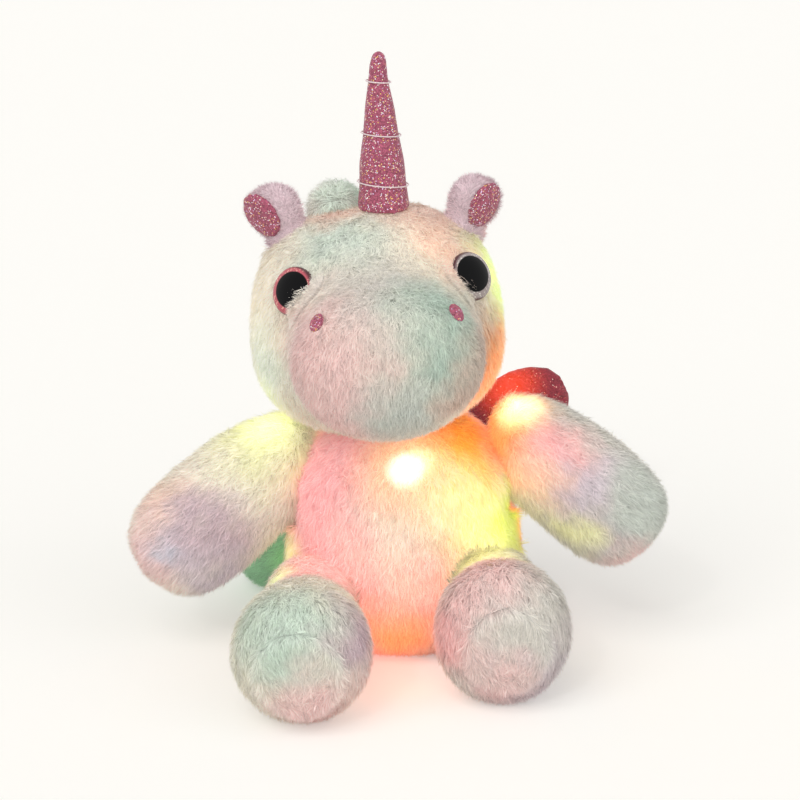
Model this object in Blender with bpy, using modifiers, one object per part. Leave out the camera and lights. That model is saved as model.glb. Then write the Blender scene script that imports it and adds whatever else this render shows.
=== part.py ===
# Sitting plush unicorn night light: sewn plush skins over fibre filling, a glitter-cloth horn, safety eyes,
# and a battery light unit that sits in a cloth pouch behind a zip in the back seam.
# Left and right are the toy's own. The toy faces -Y, so its left side is +X.
# Lengths are in metres, angles in degrees.
import math

import bmesh
import bpy
from mathutils import Matrix, Vector
from mathutils.bvhtree import BVHTree

# Cloth, filling and clearances
CLOTH = 0.003
GAP = 0.0003
FILL_GAP = 0.0006
SWING_GAP = 0.0009
OVERRUN = 0.02

# Body: a pear shape with a round neck dome and a flat seat
BODY_HALF_WIDTH = 0.0588
BODY_HALF_FRONT = 0.055
BODY_HALF_BACK = 0.050
BODY_HEIGHT = 0.125
# height, width, front and back shares of each ring, from the top down
BODY_RING_SHARES = (
    (1.05, 0.60, 0.60, 0.66),
    (0.90, 0.88, 0.86, 0.97),
    (0.70, 0.96, 0.95, 1.02),
    (0.50, 1.00, 1.00, 1.01),
    (0.30, 1.03, 1.01, 1.01),
    (0.14, 1.00, 0.93, 0.98),
    (0.02, 0.80, 0.74, 0.80),
)
BODY_TOP_SHARE = 1.16
BODY_FOOT_SHARE = 0.06
NECK_DOME_RADIUS = 0.060
DOME_TRIM_ANGLE = 72.0
NECK_HOLE_RADIUS = 0.019

# Head: its centre, how it is tilted on the neck, and its round form
HEAD_OFFSET_X = -0.013
HEAD_OFFSET_Y = -0.008
HEAD_CENTRE_HEIGHT = 0.169
HEAD_ROLL = -3.4
HEAD_YAW = 3.6
HEAD_HALF_WIDTH = 0.0625
HEAD_HALF_DEPTH = 0.055
HEAD_HALF_HEIGHT = 0.0550
# height and width shares of each ring, from the top down
HEAD_RING_SHARES = (
    (0.96, 0.50),
    (0.72, 0.82),
    (0.38, 0.97),
    (0.00, 1.01),
    (-0.38, 1.02),
    (-0.72, 0.90),
    (-0.96, 0.58),
)
HEAD_POLE_SHARE = 1.04

# Muzzle: a big padded panel on the front of the head
MUZZLE_SHIFT_X = 0.0015
MUZZLE_DROP = 0.007
MUZZLE_HALF_WIDTH = 0.0475
MUZZLE_HALF_HEIGHT = 0.0388
MUZZLE_REACH = 0.0900
# reach, width and height shares of each ring, from the head outwards
MUZZLE_RING_SHARES = (
    (0.30, 0.84, 0.92),
    (0.55, 0.97, 1.01),
    (0.76, 1.01, 1.01),
    (0.92, 0.82, 0.82),
    (1.00, 0.48, 0.48),
)
MUZZLE_ROOT_SHARE = 0.20
MUZZLE_FULL_SHARE = 0.70

# Nostril patches on the muzzle
NOSTRIL_SPREAD = 0.0325
NOSTRIL_RISE = 0.0215
NOSTRIL_HALF_WIDTH = 0.0040
NOSTRIL_HALF_HEIGHT = 0.0052
PATCH_HALF_THICKNESS = 0.0011

# Safety eyes
EYE_SHIFT_X = 0.0025
EYE_SPREAD = 0.0428
EYE_RISE = 0.0232
EYE_RADIUS = 0.0120
EYE_DOME = 0.0058
EYE_RIM = 0.0012
EYE_SHANK_RADIUS = 0.0025
EYE_SHANK_LENGTH = 0.0125
EYE_SINK = 0.0014
GLITTER_DISC_RADIUS = 0.0113
GLITTER_DISC_THICKNESS = 0.0006
WASHER_RADIUS = 0.0065
WASHER_THICKNESS = 0.0014
WASHER_GAP = 0.0014

# Horn and the thread wound round it
HORN_X = 0.0062
HORN_Y = -0.006
HORN_BASE_HEIGHT = 0.0475
HORN_LENGTH = 0.0842
HORN_RADIUS = 0.0125
HORN_LEAN = 2.0
# height, radius and sideways shares of each ring, from the base up
HORN_RING_SHARES = (
    (0.02, 1.00, 0.00),
    (0.12, 1.04, 0.00),
    (0.235, 0.88, 0.00),
    (0.35, 0.93, -0.02),
    (0.52, 0.66, -0.03),
    (0.66, 0.62, -0.05),
    (0.82, 0.38, -0.08),
    (0.90, 0.36, -0.07),
    (0.975, 0.28, -0.03),
)
HORN_POLE_SHARE = 1.005
THREAD_RADIUS = 0.00035
THREAD_TILT = 6.0
THREAD_HEIGHT_SHARES = (0.235, 0.52, 0.82)

# Ears with their glitter linings
EAR_SHIFT_X = 0.0030
EAR_SPREAD = 0.0430
EAR_BACK = 0.006
EAR_RISE = 0.0395
EAR_LENGTH = 0.0260
EAR_HALF_WIDTH = 0.0142
EAR_HALF_THICKNESS = 0.0052
EAR_LEAN = 27.0
EAR_FACING = 48.0
# length, width and thickness shares of each ring, from the base up
EAR_RING_SHARES = (
    (0.00, 0.48, 0.80),
    (0.36, 0.84, 1.00),
    (0.64, 1.12, 1.05),
    (0.90, 0.86, 0.92),
)
EAR_POLE_SHARE = 1.03
EAR_ROOT_RADIUS = 0.0060
EAR_ROOT_HALF_LENGTH = 0.0045
LINING_HALF_WIDTH = 0.0088
LINING_HALF_LENGTH = 0.0100
LINING_HALF_THICKNESS = 0.0020
LINING_HEIGHT_SHARE = 0.58

# Mane: a padded crest behind the horn and down the back of the head
MANE_HALF_WIDTH = 0.0125
MANE_HALF_HEIGHT = 0.0128
# sideways, backward and upward shares of the head's half sizes for each ring, from the front to the nape
MANE_PATH_SHARES = (
    (-0.28, 0.04, 0.96),
    (-0.27, 0.30, 0.99),
    (-0.17, 0.62, 0.78),
    (-0.08, 0.90, 0.46),
    (-0.02, 1.03, 0.08),
    (0.00, 1.00, -0.30),
)
MANE_FRONT_SHARES = (-0.24, -0.16, 0.92)
MANE_NAPE_SHARES = (0.00, 0.92, -0.52)

# Arms: each lies against a flat seat on the body's side and swings about an axis through both seats
SHOULDER_REACH = 0.0515
SHOULDER_HEIGHT = 0.101
SHOULDER_TILT = 0.004
ARM_SEAT_RADIUS = 0.0380
RIGHT_ARM_REACH = 0.0780
RIGHT_ARM_HALF_WIDTH = 0.0285
LEFT_ARM_REACH = 0.0725
LEFT_ARM_HALF_WIDTH = 0.0275
# outward, forward and downward shares of the arm's reach, then width and thickness shares, of each ring
RIGHT_ARM_RING_SHARES = (
    (-0.06, 0.00, 0.02, 0.80, 0.84),
    (0.16, -0.04, 0.05, 0.94, 0.84),
    (0.42, -0.12, 0.26, 1.06, 0.78),
    (0.68, -0.22, 0.47, 1.07, 0.78),
    (0.88, -0.30, 0.64, 0.93, 0.70),
)
RIGHT_ARM_TIP_SHARES = (1.00, -0.36, 0.76)
LEFT_ARM_RING_SHARES = (
    (-0.06, 0.00, -0.02, 0.85, 0.86),
    (0.18, -0.04, 0.05, 0.96, 0.84),
    (0.46, -0.12, 0.25, 1.04, 0.76),
    (0.72, -0.22, 0.46, 1.04, 0.74),
    (0.90, -0.28, 0.61, 0.88, 0.64),
)
LEFT_ARM_TIP_SHARES = (1.00, -0.33, 0.71)
ARM_CAP_RADIUS = 0.0207
ARM_CAP_BULGE = 0.0090

# Legs: each turns on a round root sewn into the body's lower front
HIP_SPREAD = 0.0450
HIP_HEIGHT = 0.0325
HIP_ROOT_RADIUS = 0.0240
LEG_HALF_WIDTH = 0.0225
LEG_ROOM_RAISE = 26.0
LEG_ROOM_LOWER = 15.0
RIGHT_HIP_Y = -0.042
RIGHT_LEG_LENGTH = 0.077
RIGHT_FOOT_HALF_WIDTH = 0.0335
RIGHT_FOOT_HALF_HEIGHT = 0.0332
LEFT_HIP_Y = -0.028
LEFT_LEG_LENGTH = 0.067
LEFT_FOOT_HALF_WIDTH = 0.0330
LEFT_FOOT_HALF_HEIGHT = 0.0350
FOOT_SPREAD = 0.0475
# distance share along the leg, and how far the ring has grown from the leg's size to the foot's
LEG_RING_SHARES = (
    (0.12, 0.00),
    (0.42, 0.10),
    (0.70, 0.78),
    (0.92, 1.05),
    (1.10, 0.98),
    (1.22, 0.62),
)
FOOT_FRONT_SHARE = 1.25
LEG_ROOT_SHARE = -0.05
SOLE_HALF_WIDTH_SHARE = 0.66
SOLE_HALF_THICKNESS = 0.0030

# Wings: small stuffed wings that flap on an upright seam
WING_SEAM_SPREAD = 0.0185
WING_SEAM_INSET = 0.0025
WING_SEAM_LOW = 0.086
WING_SEAM_HIGH = 0.100
WING_ROOT_RADIUS = 0.0055
WING_SPAN = 0.0760
WING_HALF_HEIGHT = 0.0205
WING_HALF_THICKNESS = 0.0068
LEFT_WING_ANGLE = 12.0
RIGHT_WING_ANGLE = 58.0
# span, height, thickness, lift and bulge shares of each ring, from the seam outwards
WING_RING_SHARES = (
    (0.04, 0.28, 0.60, 0.00, 0.00),
    (0.30, 0.72, 0.95, 0.24, 0.06),
    (0.58, 1.06, 1.10, 0.58, 0.08),
    (0.84, 0.96, 0.95, 0.74, 0.04),
)
WING_TIP_SHARES = (1.00, 0.78)

# Tail: a stuffed tail that lies on the floor round the right side
TAIL_ROOT_HEIGHT = 0.0195
TAIL_ROOT_INSET = 0.001
TAIL_ROOT_RADIUS = 0.0110
TAIL_REACH = 0.0900
TAIL_HALF_SIZE = 0.0262
# sideways and backward shares of the tail's reach, and the size share, of each ring from the root outwards
TAIL_RING_SHARES = (
    (-0.06, 0.06, 0.36),
    (-0.22, 0.20, 0.54),
    (-0.46, 0.30, 0.84),
    (-0.72, 0.28, 1.05),
    (-0.90, 0.20, 0.86),
)
TAIL_TIP_SHARES = (-1.01, 0.13)

# Zip in the back seam
ZIP_LENGTH = 0.0560
ZIP_TAIL_GAP = 0.0065
ZIP_CENTRE_HEIGHT = TAIL_ROOT_HEIGHT + TAIL_ROOT_RADIUS + ZIP_TAIL_GAP + ZIP_LENGTH / 2
ZIP_TAPE_WIDTH = 0.0062
ZIP_TAPE_THICKNESS = 0.0008
ZIP_INSET = 0.0014
TOOTH_PITCH = 0.0035
TOOTH_LENGTH = 0.0015
TOOTH_REACH = 0.0028
TOOTH_HEIGHT = 0.0026
TOOTH_BITE = 0.0013
TEETH_SPLIT = 0.0011
ZIP_SPINE = 0.0005
SLIDER_LENGTH = 0.0075
SLIDER_HALF_WIDTH = 0.0042
SLIDER_PLATE = 0.0009
SLIDER_WEB = 0.0005
SLIDER_LIP = 0.0007
SLIDER_GAP = 0.0003
BAIL_HEIGHT = 0.0022
BAIL_WIRE = 0.0009
PULL_LENGTH = 0.0150
PULL_WIDTH = 0.0046
PULL_THICKNESS = 0.0009
PULL_BAR = 0.0010
PULL_WINDOW = 0.0042
PULL_FLARE_SHARE = 1.3
PULL_WIDEST_SHARE = 0.85
STOP_LENGTH = 0.0016

# Battery pouch, battery case and what it holds
POUCH_WALL = 0.0010
POUCH_MOUTH_HALF_WIDTH = 0.0105
POUCH_MOUTH_HEIGHT = 0.0560
POUCH_MOUTH_INSET = 0.0062
CELL_RADIUS = 0.00525
CELL_LENGTH = 0.0445
CELL_NUB_RADIUS = 0.0019
CELL_NUB_LENGTH = 0.0009
CELL_COUNT = 3
CASE_WALL = 0.0015
CASE_FRONT_Y = 0.0115
SPRING_SPACE = 0.0050
SPRING_RADIUS = 0.0036
SPRING_WIRE = 0.0003
SPRING_TURNS = 3
CONTACT_THICKNESS = 0.0004
CONTACT_HALF_SIZE = 0.0040
SWITCH_BAY = 0.0120
DIVIDER = 0.0012
LID_THICKNESS = 0.0014
LID_SEAT = 0.0010
SCREW_RADIUS = 0.0012
SCREW_HEAD_RADIUS = 0.0022
SCREW_CROWN_SHARE = 0.7
SCREW_HEAD_HEIGHT = 0.0010
SCREW_BOSS_RADIUS = 0.0028
BOSS_SHIFT_SHARE = 0.7
BOARD_THICKNESS = 0.0012
BOARD_STANDOFF = 0.0016
SWITCH_SIZE = 0.0070
SWITCH_HEIGHT = 0.0050
BUTTON_RADIUS = 0.0020
BUTTON_STAND = 0.0026
BUTTON_TRAVEL = 0.0012
PLUG_HEIGHT = 0.0026
PLUG_STAND = 0.0020

# Lamps on their leads
LAMP_RADIUS = 0.0025
LAMP_LENGTH = 0.0080
LAMP_RIM = 0.0004
LAMP_DEPTH = 0.0008
LEAD_RADIUS = 0.0006
LEAD_PITCH = 0.0032
LEAD_RUN = 0.0060
LEAD_STEPS = 6
LAMP_AIM_HEIGHT = 0.058
# name, azimuth from +X and rise above the horizontal in degrees, and the place of its lead in the exit row
BODY_LAMPS = (
    ("lamp_right_flank", 188.0, -6.0, -3),
    ("lamp_right_shoulder", 204.0, 42.0, -2),
    ("lamp_front_low", 262.0, -28.0, -1),
    ("lamp_chest", 270.0, 34.0, 1),
    ("lamp_left_shoulder", -24.0, 42.0, 2),
    ("lamp_left_flank", -32.0, 14.0, 3),
)
HEAD_LAMP_AZIMUTH = 22.0
HEAD_LAMP_RISE = 10.0

# Fineness of the faceted forms
SOFT_SEGMENTS = 10
SMALL_SEGMENTS = 8
BODY_SEGMENTS = 10
DOME_STEPS = 9
ROOT_RINGS = 9
CAP_STEPS = 4
TURN_STEPS = 18
FINE_STEPS = 16
SMALL_STEPS = 12
COIL_STEPS = 6
PAD_RINGS = 6
SPHERE_RINGS = 11
UNIT = 1.0

for old in list(bpy.data.objects):
    bpy.data.objects.remove(old, do_unlink=True)

PARTS = bpy.data.collections.new("plush_unicorn_night_light")
CUTTERS = bpy.data.collections.new("cutters")
bpy.context.scene.collection.children.link(PARTS)
bpy.context.scene.collection.children.link(CUTTERS)


# Materials

def linear(channel):
    if channel <= 0.04045:
        return channel / 12.92
    return ((channel + 0.055) / 1.055) ** 2.4


def material(name, colour, roughness, metallic=0.0):
    made = bpy.data.materials.new(name)
    made.use_nodes = True
    shader = made.node_tree.nodes["Principled BSDF"]
    channels = [linear(int(colour[i:i + 2], 16) / 255) for i in (0, 2, 4)]
    shader.inputs["Base Color"].default_value = (*channels, 1.0)
    shader.inputs["Roughness"].default_value = roughness
    shader.inputs["Metallic"].default_value = metallic
    return made


PINK_PLUSH = material("pink_plush", "EBC4C0", 0.9)
HEAD_PLUSH = material("mint_plush", "D5D6C4", 0.9)
MUZZLE_PLUSH = material("lilac_plush", "CDB9BC", 0.9)
LIMB_PLUSH = material("pastel_plush", "D3C3BF", 0.9)
GREEN_PLUSH = material("green_plush", "8FC6A2", 0.9)
ROSE_GLITTER = material("rose_glitter_cloth", "BE6480", 0.45)
CRIMSON_GLITTER = material("crimson_glitter_cloth", "B23A58", 0.45)
SILVER_THREAD = material("silver_thread", "E8C9D2", 0.4)
CLEAR_PLASTIC = material("clear_acrylic", "1A1618", 0.05)
WHITE_PLASTIC = material("white_moulded_plastic", "E9E9E6", 0.4)
WHITE_CLOTH = material("white_lining_cloth", "F0EEEA", 0.9)
FIBRE = material("polyester_fibre", "F6F5F1", 1.0)
STEEL = material("plated_steel", "C4C6C8", 0.3, 1.0)
CELL_SLEEVE = material("cell_sleeve", "6F7A80", 0.35, 0.6)
BOARD_GREEN = material("board_laminate", "2F6B46", 0.5)
BLACK_PLASTIC = material("black_plastic", "1B1B1D", 0.4)
LAMP_EPOXY = material("lamp_epoxy", "F4F1E4", 0.1)
LEAD_PLASTIC = material("lead_insulation", "D94A3A", 0.4)
ZIP_CLOTH = material("zip_tape_cloth", "E7B9C4", 0.8)
ZIP_PLASTIC = material("zip_moulded_plastic", "E3A9B8", 0.35)


# Making and joining objects

def add(name, mesh, look, collection=None):
    made = bpy.data.objects.new(name, mesh)
    (collection or PARTS).objects.link(made)
    if look is not None:
        mesh.materials.append(look)
    mesh.shade_smooth()
    if collection is CUTTERS:
        made.hide_render = True
        made.display_type = "WIRE"
    return made


def from_bmesh(name, shape, look, collection=None):
    bmesh.ops.recalc_face_normals(shape, faces=shape.faces)
    if shape.calc_volume(signed=True) < 0:
        bmesh.ops.reverse_faces(shape, faces=shape.faces)
    mesh = bpy.data.meshes.new(name)
    shape.to_mesh(mesh)
    shape.free()
    return add(name, mesh, look, collection)


def settle(made):
    """Replace an object's modifiers, or a curve, by the mesh that they give."""
    bpy.context.view_layer.update()
    graph = bpy.context.evaluated_depsgraph_get()
    mesh = bpy.data.meshes.new_from_object(made.evaluated_get(graph))
    if made.type == "CURVE":
        shape = bmesh.new()
        shape.from_mesh(mesh)
        bmesh.ops.remove_doubles(shape, verts=shape.verts, dist=LEAD_RADIUS / 50)
        bmesh.ops.recalc_face_normals(shape, faces=shape.faces)
        shape.to_mesh(mesh)
        shape.free()
        name = made.name
        home = made.users_collection[0]
        matrix = made.matrix_world.copy()
        bpy.data.objects.remove(made, do_unlink=True)
        mesh.materials.clear()
        solid = add(name, mesh, None, home)
        solid.matrix_world = matrix
        return solid
    made.modifiers.clear()
    made.data = mesh
    return made


def copy_of(made, name, collection=CUTTERS):
    twin = add(name, made.data.copy(), None, collection)
    twin.matrix_world = made.matrix_world.copy()
    return twin


def boolean(target, tool, operation):
    step = target.modifiers.new(operation.lower() + "_" + tool.name, "BOOLEAN")
    step.operation = operation
    step.solver = "EXACT"
    step.object = tool


def cut(target, *tools):
    for tool in tools:
        boolean(target, tool, "DIFFERENCE")


def join(target, *tools):
    for tool in tools:
        boolean(target, tool, "UNION")


def finish_cuts(*made):
    """Keep the cut mesh itself, with slivers from the cuts merged away."""
    for solid in made:
        settle(solid)
        shape = bmesh.new()
        shape.from_mesh(solid.data)
        bmesh.ops.remove_doubles(shape, verts=shape.verts, dist=GAP / 100)
        shape.to_mesh(solid.data)
        shape.free()


# Basic shapes

def subdivide(made, levels=1):
    step = made.modifiers.new("soft", "SUBSURF")
    step.levels = levels
    step.render_levels = levels


def soft_form(name, rings, start, end, across, look, segments=SOFT_SEGMENTS, collection=None):
    """A soft closed form round a bent path.

    rings are (centre, half size across, half size below, half size above) from start to end. Ball rings
    are moved to them, and the cage is then smoothed. across is the sideways direction of every ring."""
    count = len(rings) + 1
    shape = bmesh.new()
    bmesh.ops.create_uvsphere(shape, u_segments=segments, v_segments=count, radius=UNIT)
    cage_share = 3 / (2 + math.cos(math.tau / segments))
    centres = [Vector(start)] + [Vector(ring[0]) for ring in rings] + [Vector(end)]
    for vert in shape.verts:
        place = round(math.acos(max(-UNIT, min(UNIT, vert.co.z))) / math.pi * count)
        if place in (0, count):
            vert.co = centres[place]
            continue
        along = (centres[place + 1] - centres[place - 1]).normalized()
        above = along.cross(across).normalized()
        side = above.cross(along).normalized()
        flat = Vector((vert.co.x, vert.co.y, 0)).normalized()
        _, half_side, half_below, half_above = rings[place - 1]
        half_rise = half_above if flat.y > 0 else half_below
        vert.co = centres[place] + cage_share * (side * flat.x * half_side + above * flat.y * half_rise)
    made = from_bmesh(name, shape, look, collection)
    subdivide(made)
    return settle(made)


def turned(name, profile, look, steps=TURN_STEPS, collection=None, closed=False):
    """A turned solid about Z. The profile is (radius, height) pairs down the outer side, top to bottom."""
    mesh = bpy.data.meshes.new(name)
    verts = [(radius, 0, height) for radius, height in profile]
    edges = [(i, i + 1) for i in range(len(verts) - 1)]
    if closed:
        edges.append((len(verts) - 1, 0))
    mesh.from_pydata(verts, edges, [])
    made = add(name, mesh, look, collection)
    step = made.modifiers.new("turn", "SCREW")
    step.steps = steps
    step.render_steps = steps
    step.use_merge_vertices = True
    step.merge_threshold = 0.00001
    step.use_smooth_shade = True
    return settle(made)


def sphere(name, centre, radius, look=None, steps=TURN_STEPS, rings=SPHERE_RINGS, collection=CUTTERS):
    shape = bmesh.new()
    bmesh.ops.create_uvsphere(shape, u_segments=steps, v_segments=rings, radius=radius)
    bmesh.ops.translate(shape, verts=shape.verts, vec=centre)
    return from_bmesh(name, shape, look, collection)


def capsule(name, start, end, radius, look=None, steps=FINE_STEPS, rings=SPHERE_RINGS, collection=CUTTERS):
    """A round-ended rod: a sphere drawn out along its axis."""
    start = Vector(start)
    end = Vector(end)
    axis = end - start
    shape = bmesh.new()
    bmesh.ops.create_uvsphere(shape, u_segments=steps, v_segments=rings, radius=radius)
    for vert in shape.verts:
        vert.co.z += math.copysign(axis.length / 2, vert.co.z)
    turn = axis.to_track_quat("Z", "Y").to_matrix()
    bmesh.ops.rotate(shape, verts=shape.verts, cent=(0, 0, 0), matrix=turn)
    bmesh.ops.translate(shape, verts=shape.verts, vec=(start + end) / 2)
    return from_bmesh(name, shape, look, collection)


def rod(name, start, end, radius, look=None, steps=FINE_STEPS, collection=CUTTERS):
    start = Vector(start)
    end = Vector(end)
    axis = end - start
    shape = bmesh.new()
    bmesh.ops.create_cone(shape, cap_ends=True, segments=steps, radius1=radius, radius2=radius,
                          depth=axis.length)
    bmesh.ops.rotate(shape, verts=shape.verts, cent=(0, 0, 0),
                     matrix=axis.to_track_quat("Z", "Y").to_matrix())
    bmesh.ops.translate(shape, verts=shape.verts, vec=(start + end) / 2)
    return from_bmesh(name, shape, look, collection)


def block(name, low, high, look=None, collection=CUTTERS, bevel=0.0, bevel_steps=2):
    low = Vector(low)
    high = Vector(high)
    shape = bmesh.new()
    bmesh.ops.create_cube(shape, size=UNIT)
    for vert in shape.verts:
        for axis in range(3):
            vert.co[axis] = high[axis] if vert.co[axis] > 0 else low[axis]
    made = from_bmesh(name, shape, look, collection)
    if bevel:
        step = made.modifiers.new("round_edges", "BEVEL")
        step.width = bevel
        step.segments = bevel_steps
        step.limit_method = "NONE"
        settle(made)
    return made


def flat_solid(name, outline, thickness, look=None, collection=CUTTERS):
    """A flat outline in the XY plane, filled and given its thickness about z = 0."""
    curve = bpy.data.curves.new(name, "CURVE")
    curve.dimensions = "2D"
    curve.fill_mode = "BOTH"
    curve.extrude = thickness / 2
    for loop in outline:
        spline = curve.splines.new("POLY")
        spline.points.add(len(loop) - 1)
        for point, place in zip(spline.points, loop):
            point.co = (place[0], place[1], 0, UNIT)
        spline.use_cyclic_u = True
    made = bpy.data.objects.new(name, curve)
    (collection or PARTS).objects.link(made)
    solid = settle(made)
    if look is not None:
        solid.data.materials.append(look)
    return solid


def wire(name, points, radius, look=None, collection=None, closed=False):
    curve = bpy.data.curves.new(name, "CURVE")
    curve.dimensions = "3D"
    curve.bevel_depth = radius
    curve.bevel_resolution = 1
    curve.use_fill_caps = True
    spline = curve.splines.new("POLY")
    spline.points.add(len(points) - 1)
    for point, place in zip(spline.points, points):
        point.co = (*place, UNIT)
    spline.use_cyclic_u = closed
    made = bpy.data.objects.new(name, curve)
    (collection or PARTS).objects.link(made)
    solid = settle(made)
    if look is not None:
        solid.data.materials.append(look)
    return solid


def smooth_path(places, steps):
    """Points of a smooth curve through the given places."""
    places = [Vector(place) for place in places]
    ends = [places[0] + places[0] - places[1]] + places + [places[-1] + places[-1] - places[-2]]
    points = []
    for index in range(len(places) - 1):
        p0, p1, p2, p3 = ends[index:index + 4]
        for step in range(steps):
            t = step / steps
            bend = (2 * p1 + (p2 - p0) * t + (2 * p0 - 5 * p1 + 4 * p2 - p3) * t ** 2
                    + (3 * p1 - p0 - 3 * p2 + p3) * t ** 3)
            points.append(bend / 2)
    points.append(places[-1])
    return points


def move(made, matrix):
    made.data.transform(matrix)
    return made


def carry(empty, *made):
    """Parent pieces to the empty on their joint's axis, where they stand."""
    bpy.context.view_layer.update()
    for piece in made:
        piece.parent = empty
        piece.matrix_parent_inverse = empty.matrix_world.inverted()


def joint_empty(name, place):
    empty = bpy.data.objects.new(name, None)
    empty.location = place
    CUTTERS.objects.link(empty)
    return empty


def surface_hit(form, origin, direction):
    """Where a ray from a point inside a form leaves it, and the outward normal there."""
    shape = bmesh.new()
    shape.from_mesh(form.data)
    tree = BVHTree.FromBMesh(shape)
    place, normal, _, _ = tree.ray_cast(Vector(origin), Vector(direction).normalized())
    shape.free()
    return place, normal


def facing(place, normal, upwards=(0, 0, 1)):
    """A frame whose Z axis is the normal and whose Y axis is as upright as it can be."""
    normal = Vector(normal).normalized()
    across = Vector(upwards).cross(normal).normalized()
    above = normal.cross(across)
    frame = Matrix((across, above, normal)).transposed().to_4x4()
    return Matrix.Translation(place) @ frame


def inlaid_pad(name, host, frame, half_width, half_height, half_thickness, look):
    """A padded patch, lens shaped, laid into its host with a seam gap all round."""
    made = []
    for label, grow, collection, skin in ((name, 0.0, None, look), (name + "_seat", GAP, CUTTERS, None)):
        shape = bmesh.new()
        bmesh.ops.create_uvsphere(shape, u_segments=SMALL_STEPS, v_segments=PAD_RINGS, radius=UNIT)
        sizes = (half_width + grow, half_height + grow, half_thickness + grow)
        bmesh.ops.scale(shape, verts=shape.verts, vec=sizes)
        made.append(move(from_bmesh(label, shape, skin, collection), frame))
    cut(host, made[1])
    return made[0]


def azimuth(degrees, rise=0.0):
    level = math.cos(math.radians(rise))
    turn = math.radians(degrees)
    return Vector((math.cos(turn) * level, math.sin(turn) * level, math.sin(math.radians(rise))))


# Body skin and filling

NECK_CENTRE = Vector((0, 0, BODY_HEIGHT - NECK_DOME_RADIUS))


def dome_trim(name, inset):
    """All that lies above the neck dome, for trimming the body's top."""
    radius = NECK_DOME_RADIUS - inset
    top = BODY_HEIGHT + OVERRUN
    limit = math.radians(DOME_TRIM_ANGLE)
    arc = []
    for step in range(DOME_STEPS + 1):
        angle = limit * (UNIT - step / DOME_STEPS)
        arc.append((radius * math.sin(angle), NECK_CENTRE.z + radius * math.cos(angle)))
    outer = BODY_HALF_WIDTH + OVERRUN
    profile = [(0, top), (outer, top), (outer, arc[0][1])] + arc
    return turned(name, profile, None, TURN_STEPS, CUTTERS)


def body_form(name, inset, collection=CUTTERS, look=None):
    rings = []
    for height, width, front, back in BODY_RING_SHARES:
        centre = (0, 0, height * BODY_HEIGHT)
        rings.append((centre, width * BODY_HALF_WIDTH - inset, back * BODY_HALF_BACK - inset,
                      front * BODY_HALF_FRONT - inset))
    top = (0, 0, BODY_TOP_SHARE * BODY_HEIGHT - inset)
    foot = (0, 0, -BODY_FOOT_SHARE * BODY_HEIGHT)
    form = soft_form(name, rings, top, foot, Vector((1, 0, 0)), look, BODY_SEGMENTS, collection)
    wide = BODY_HALF_WIDTH + OVERRUN
    seat = block(name + "_seat_trim", (-wide, -wide, -OVERRUN), (wide, wide, inset))
    cut(form, seat, dome_trim(name + "_dome_trim", inset))
    return settle(form)


body_skin = body_form("body_skin", 0.0, None, PINK_PLUSH)
body_outside = copy_of(body_skin, "body_outside")
body_inside = body_form("body_inside", CLOTH)
body_filling = body_form("body_filling", CLOTH + FILL_GAP, None, FIBRE)
for sign in (UNIT, -UNIT):
    shoulder = Vector((sign * SHOULDER_REACH, 0, SHOULDER_HEIGHT + sign * SHOULDER_TILT))
    outside = Vector((sign * (BODY_HALF_WIDTH + OVERRUN), 0, shoulder.z))
    for form, inset in ((body_skin, 0.0), (body_inside, CLOTH), (body_filling, CLOTH + FILL_GAP)):
        start = shoulder - Vector((sign * inset, 0, 0))
        cut(form, rod("%s_arm_seat_%d" % (form.name, sign), start, outside, ARM_SEAT_RADIUS + inset,
                      steps=TURN_STEPS))
for form in (body_skin, body_inside, body_filling):
    settle(form)
neck_hole = rod("neck_hole", NECK_CENTRE, (0, 0, BODY_HEIGHT + OVERRUN), NECK_HOLE_RADIUS, steps=TURN_STEPS)
cut(body_skin, body_inside, neck_hole)

# Head skin and filling

neck_pivot = joint_empty("neck_pivot", (0, 0, BODY_HEIGHT))
HEAD_CENTRE = Vector((HEAD_OFFSET_X, HEAD_OFFSET_Y, HEAD_CENTRE_HEIGHT))
HEAD_POSE = (Matrix.Translation(HEAD_CENTRE) @ Matrix.Rotation(math.radians(HEAD_YAW), 4, "Z")
             @ Matrix.Rotation(math.radians(HEAD_ROLL), 4, "Y"))


def neck_seat(name, grow):
    radius = NECK_DOME_RADIUS + grow
    arc = []
    for step in range(2 * DOME_STEPS + 1):
        angle = math.pi * step / (2 * DOME_STEPS)
        arc.append((radius * math.sin(angle), NECK_CENTRE.z + radius * math.cos(angle)))
    return turned(name, arc, None, TURN_STEPS, CUTTERS)


def head_form(name, inset, collection=CUTTERS, look=None):
    """The head's round form in its own frame, with the head's centre at the origin."""
    rings = []
    for height, width in HEAD_RING_SHARES:
        centre = (0, 0, height * HEAD_HALF_HEIGHT)
        half_depth = width * HEAD_HALF_DEPTH - inset
        rings.append((centre, width * HEAD_HALF_WIDTH - inset, half_depth, half_depth))
    pole = HEAD_POLE_SHARE * HEAD_HALF_HEIGHT - inset
    return soft_form(name, rings, (0, 0, pole), (0, 0, -pole), Vector((1, 0, 0)), look, BODY_SEGMENTS,
                     collection)


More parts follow.
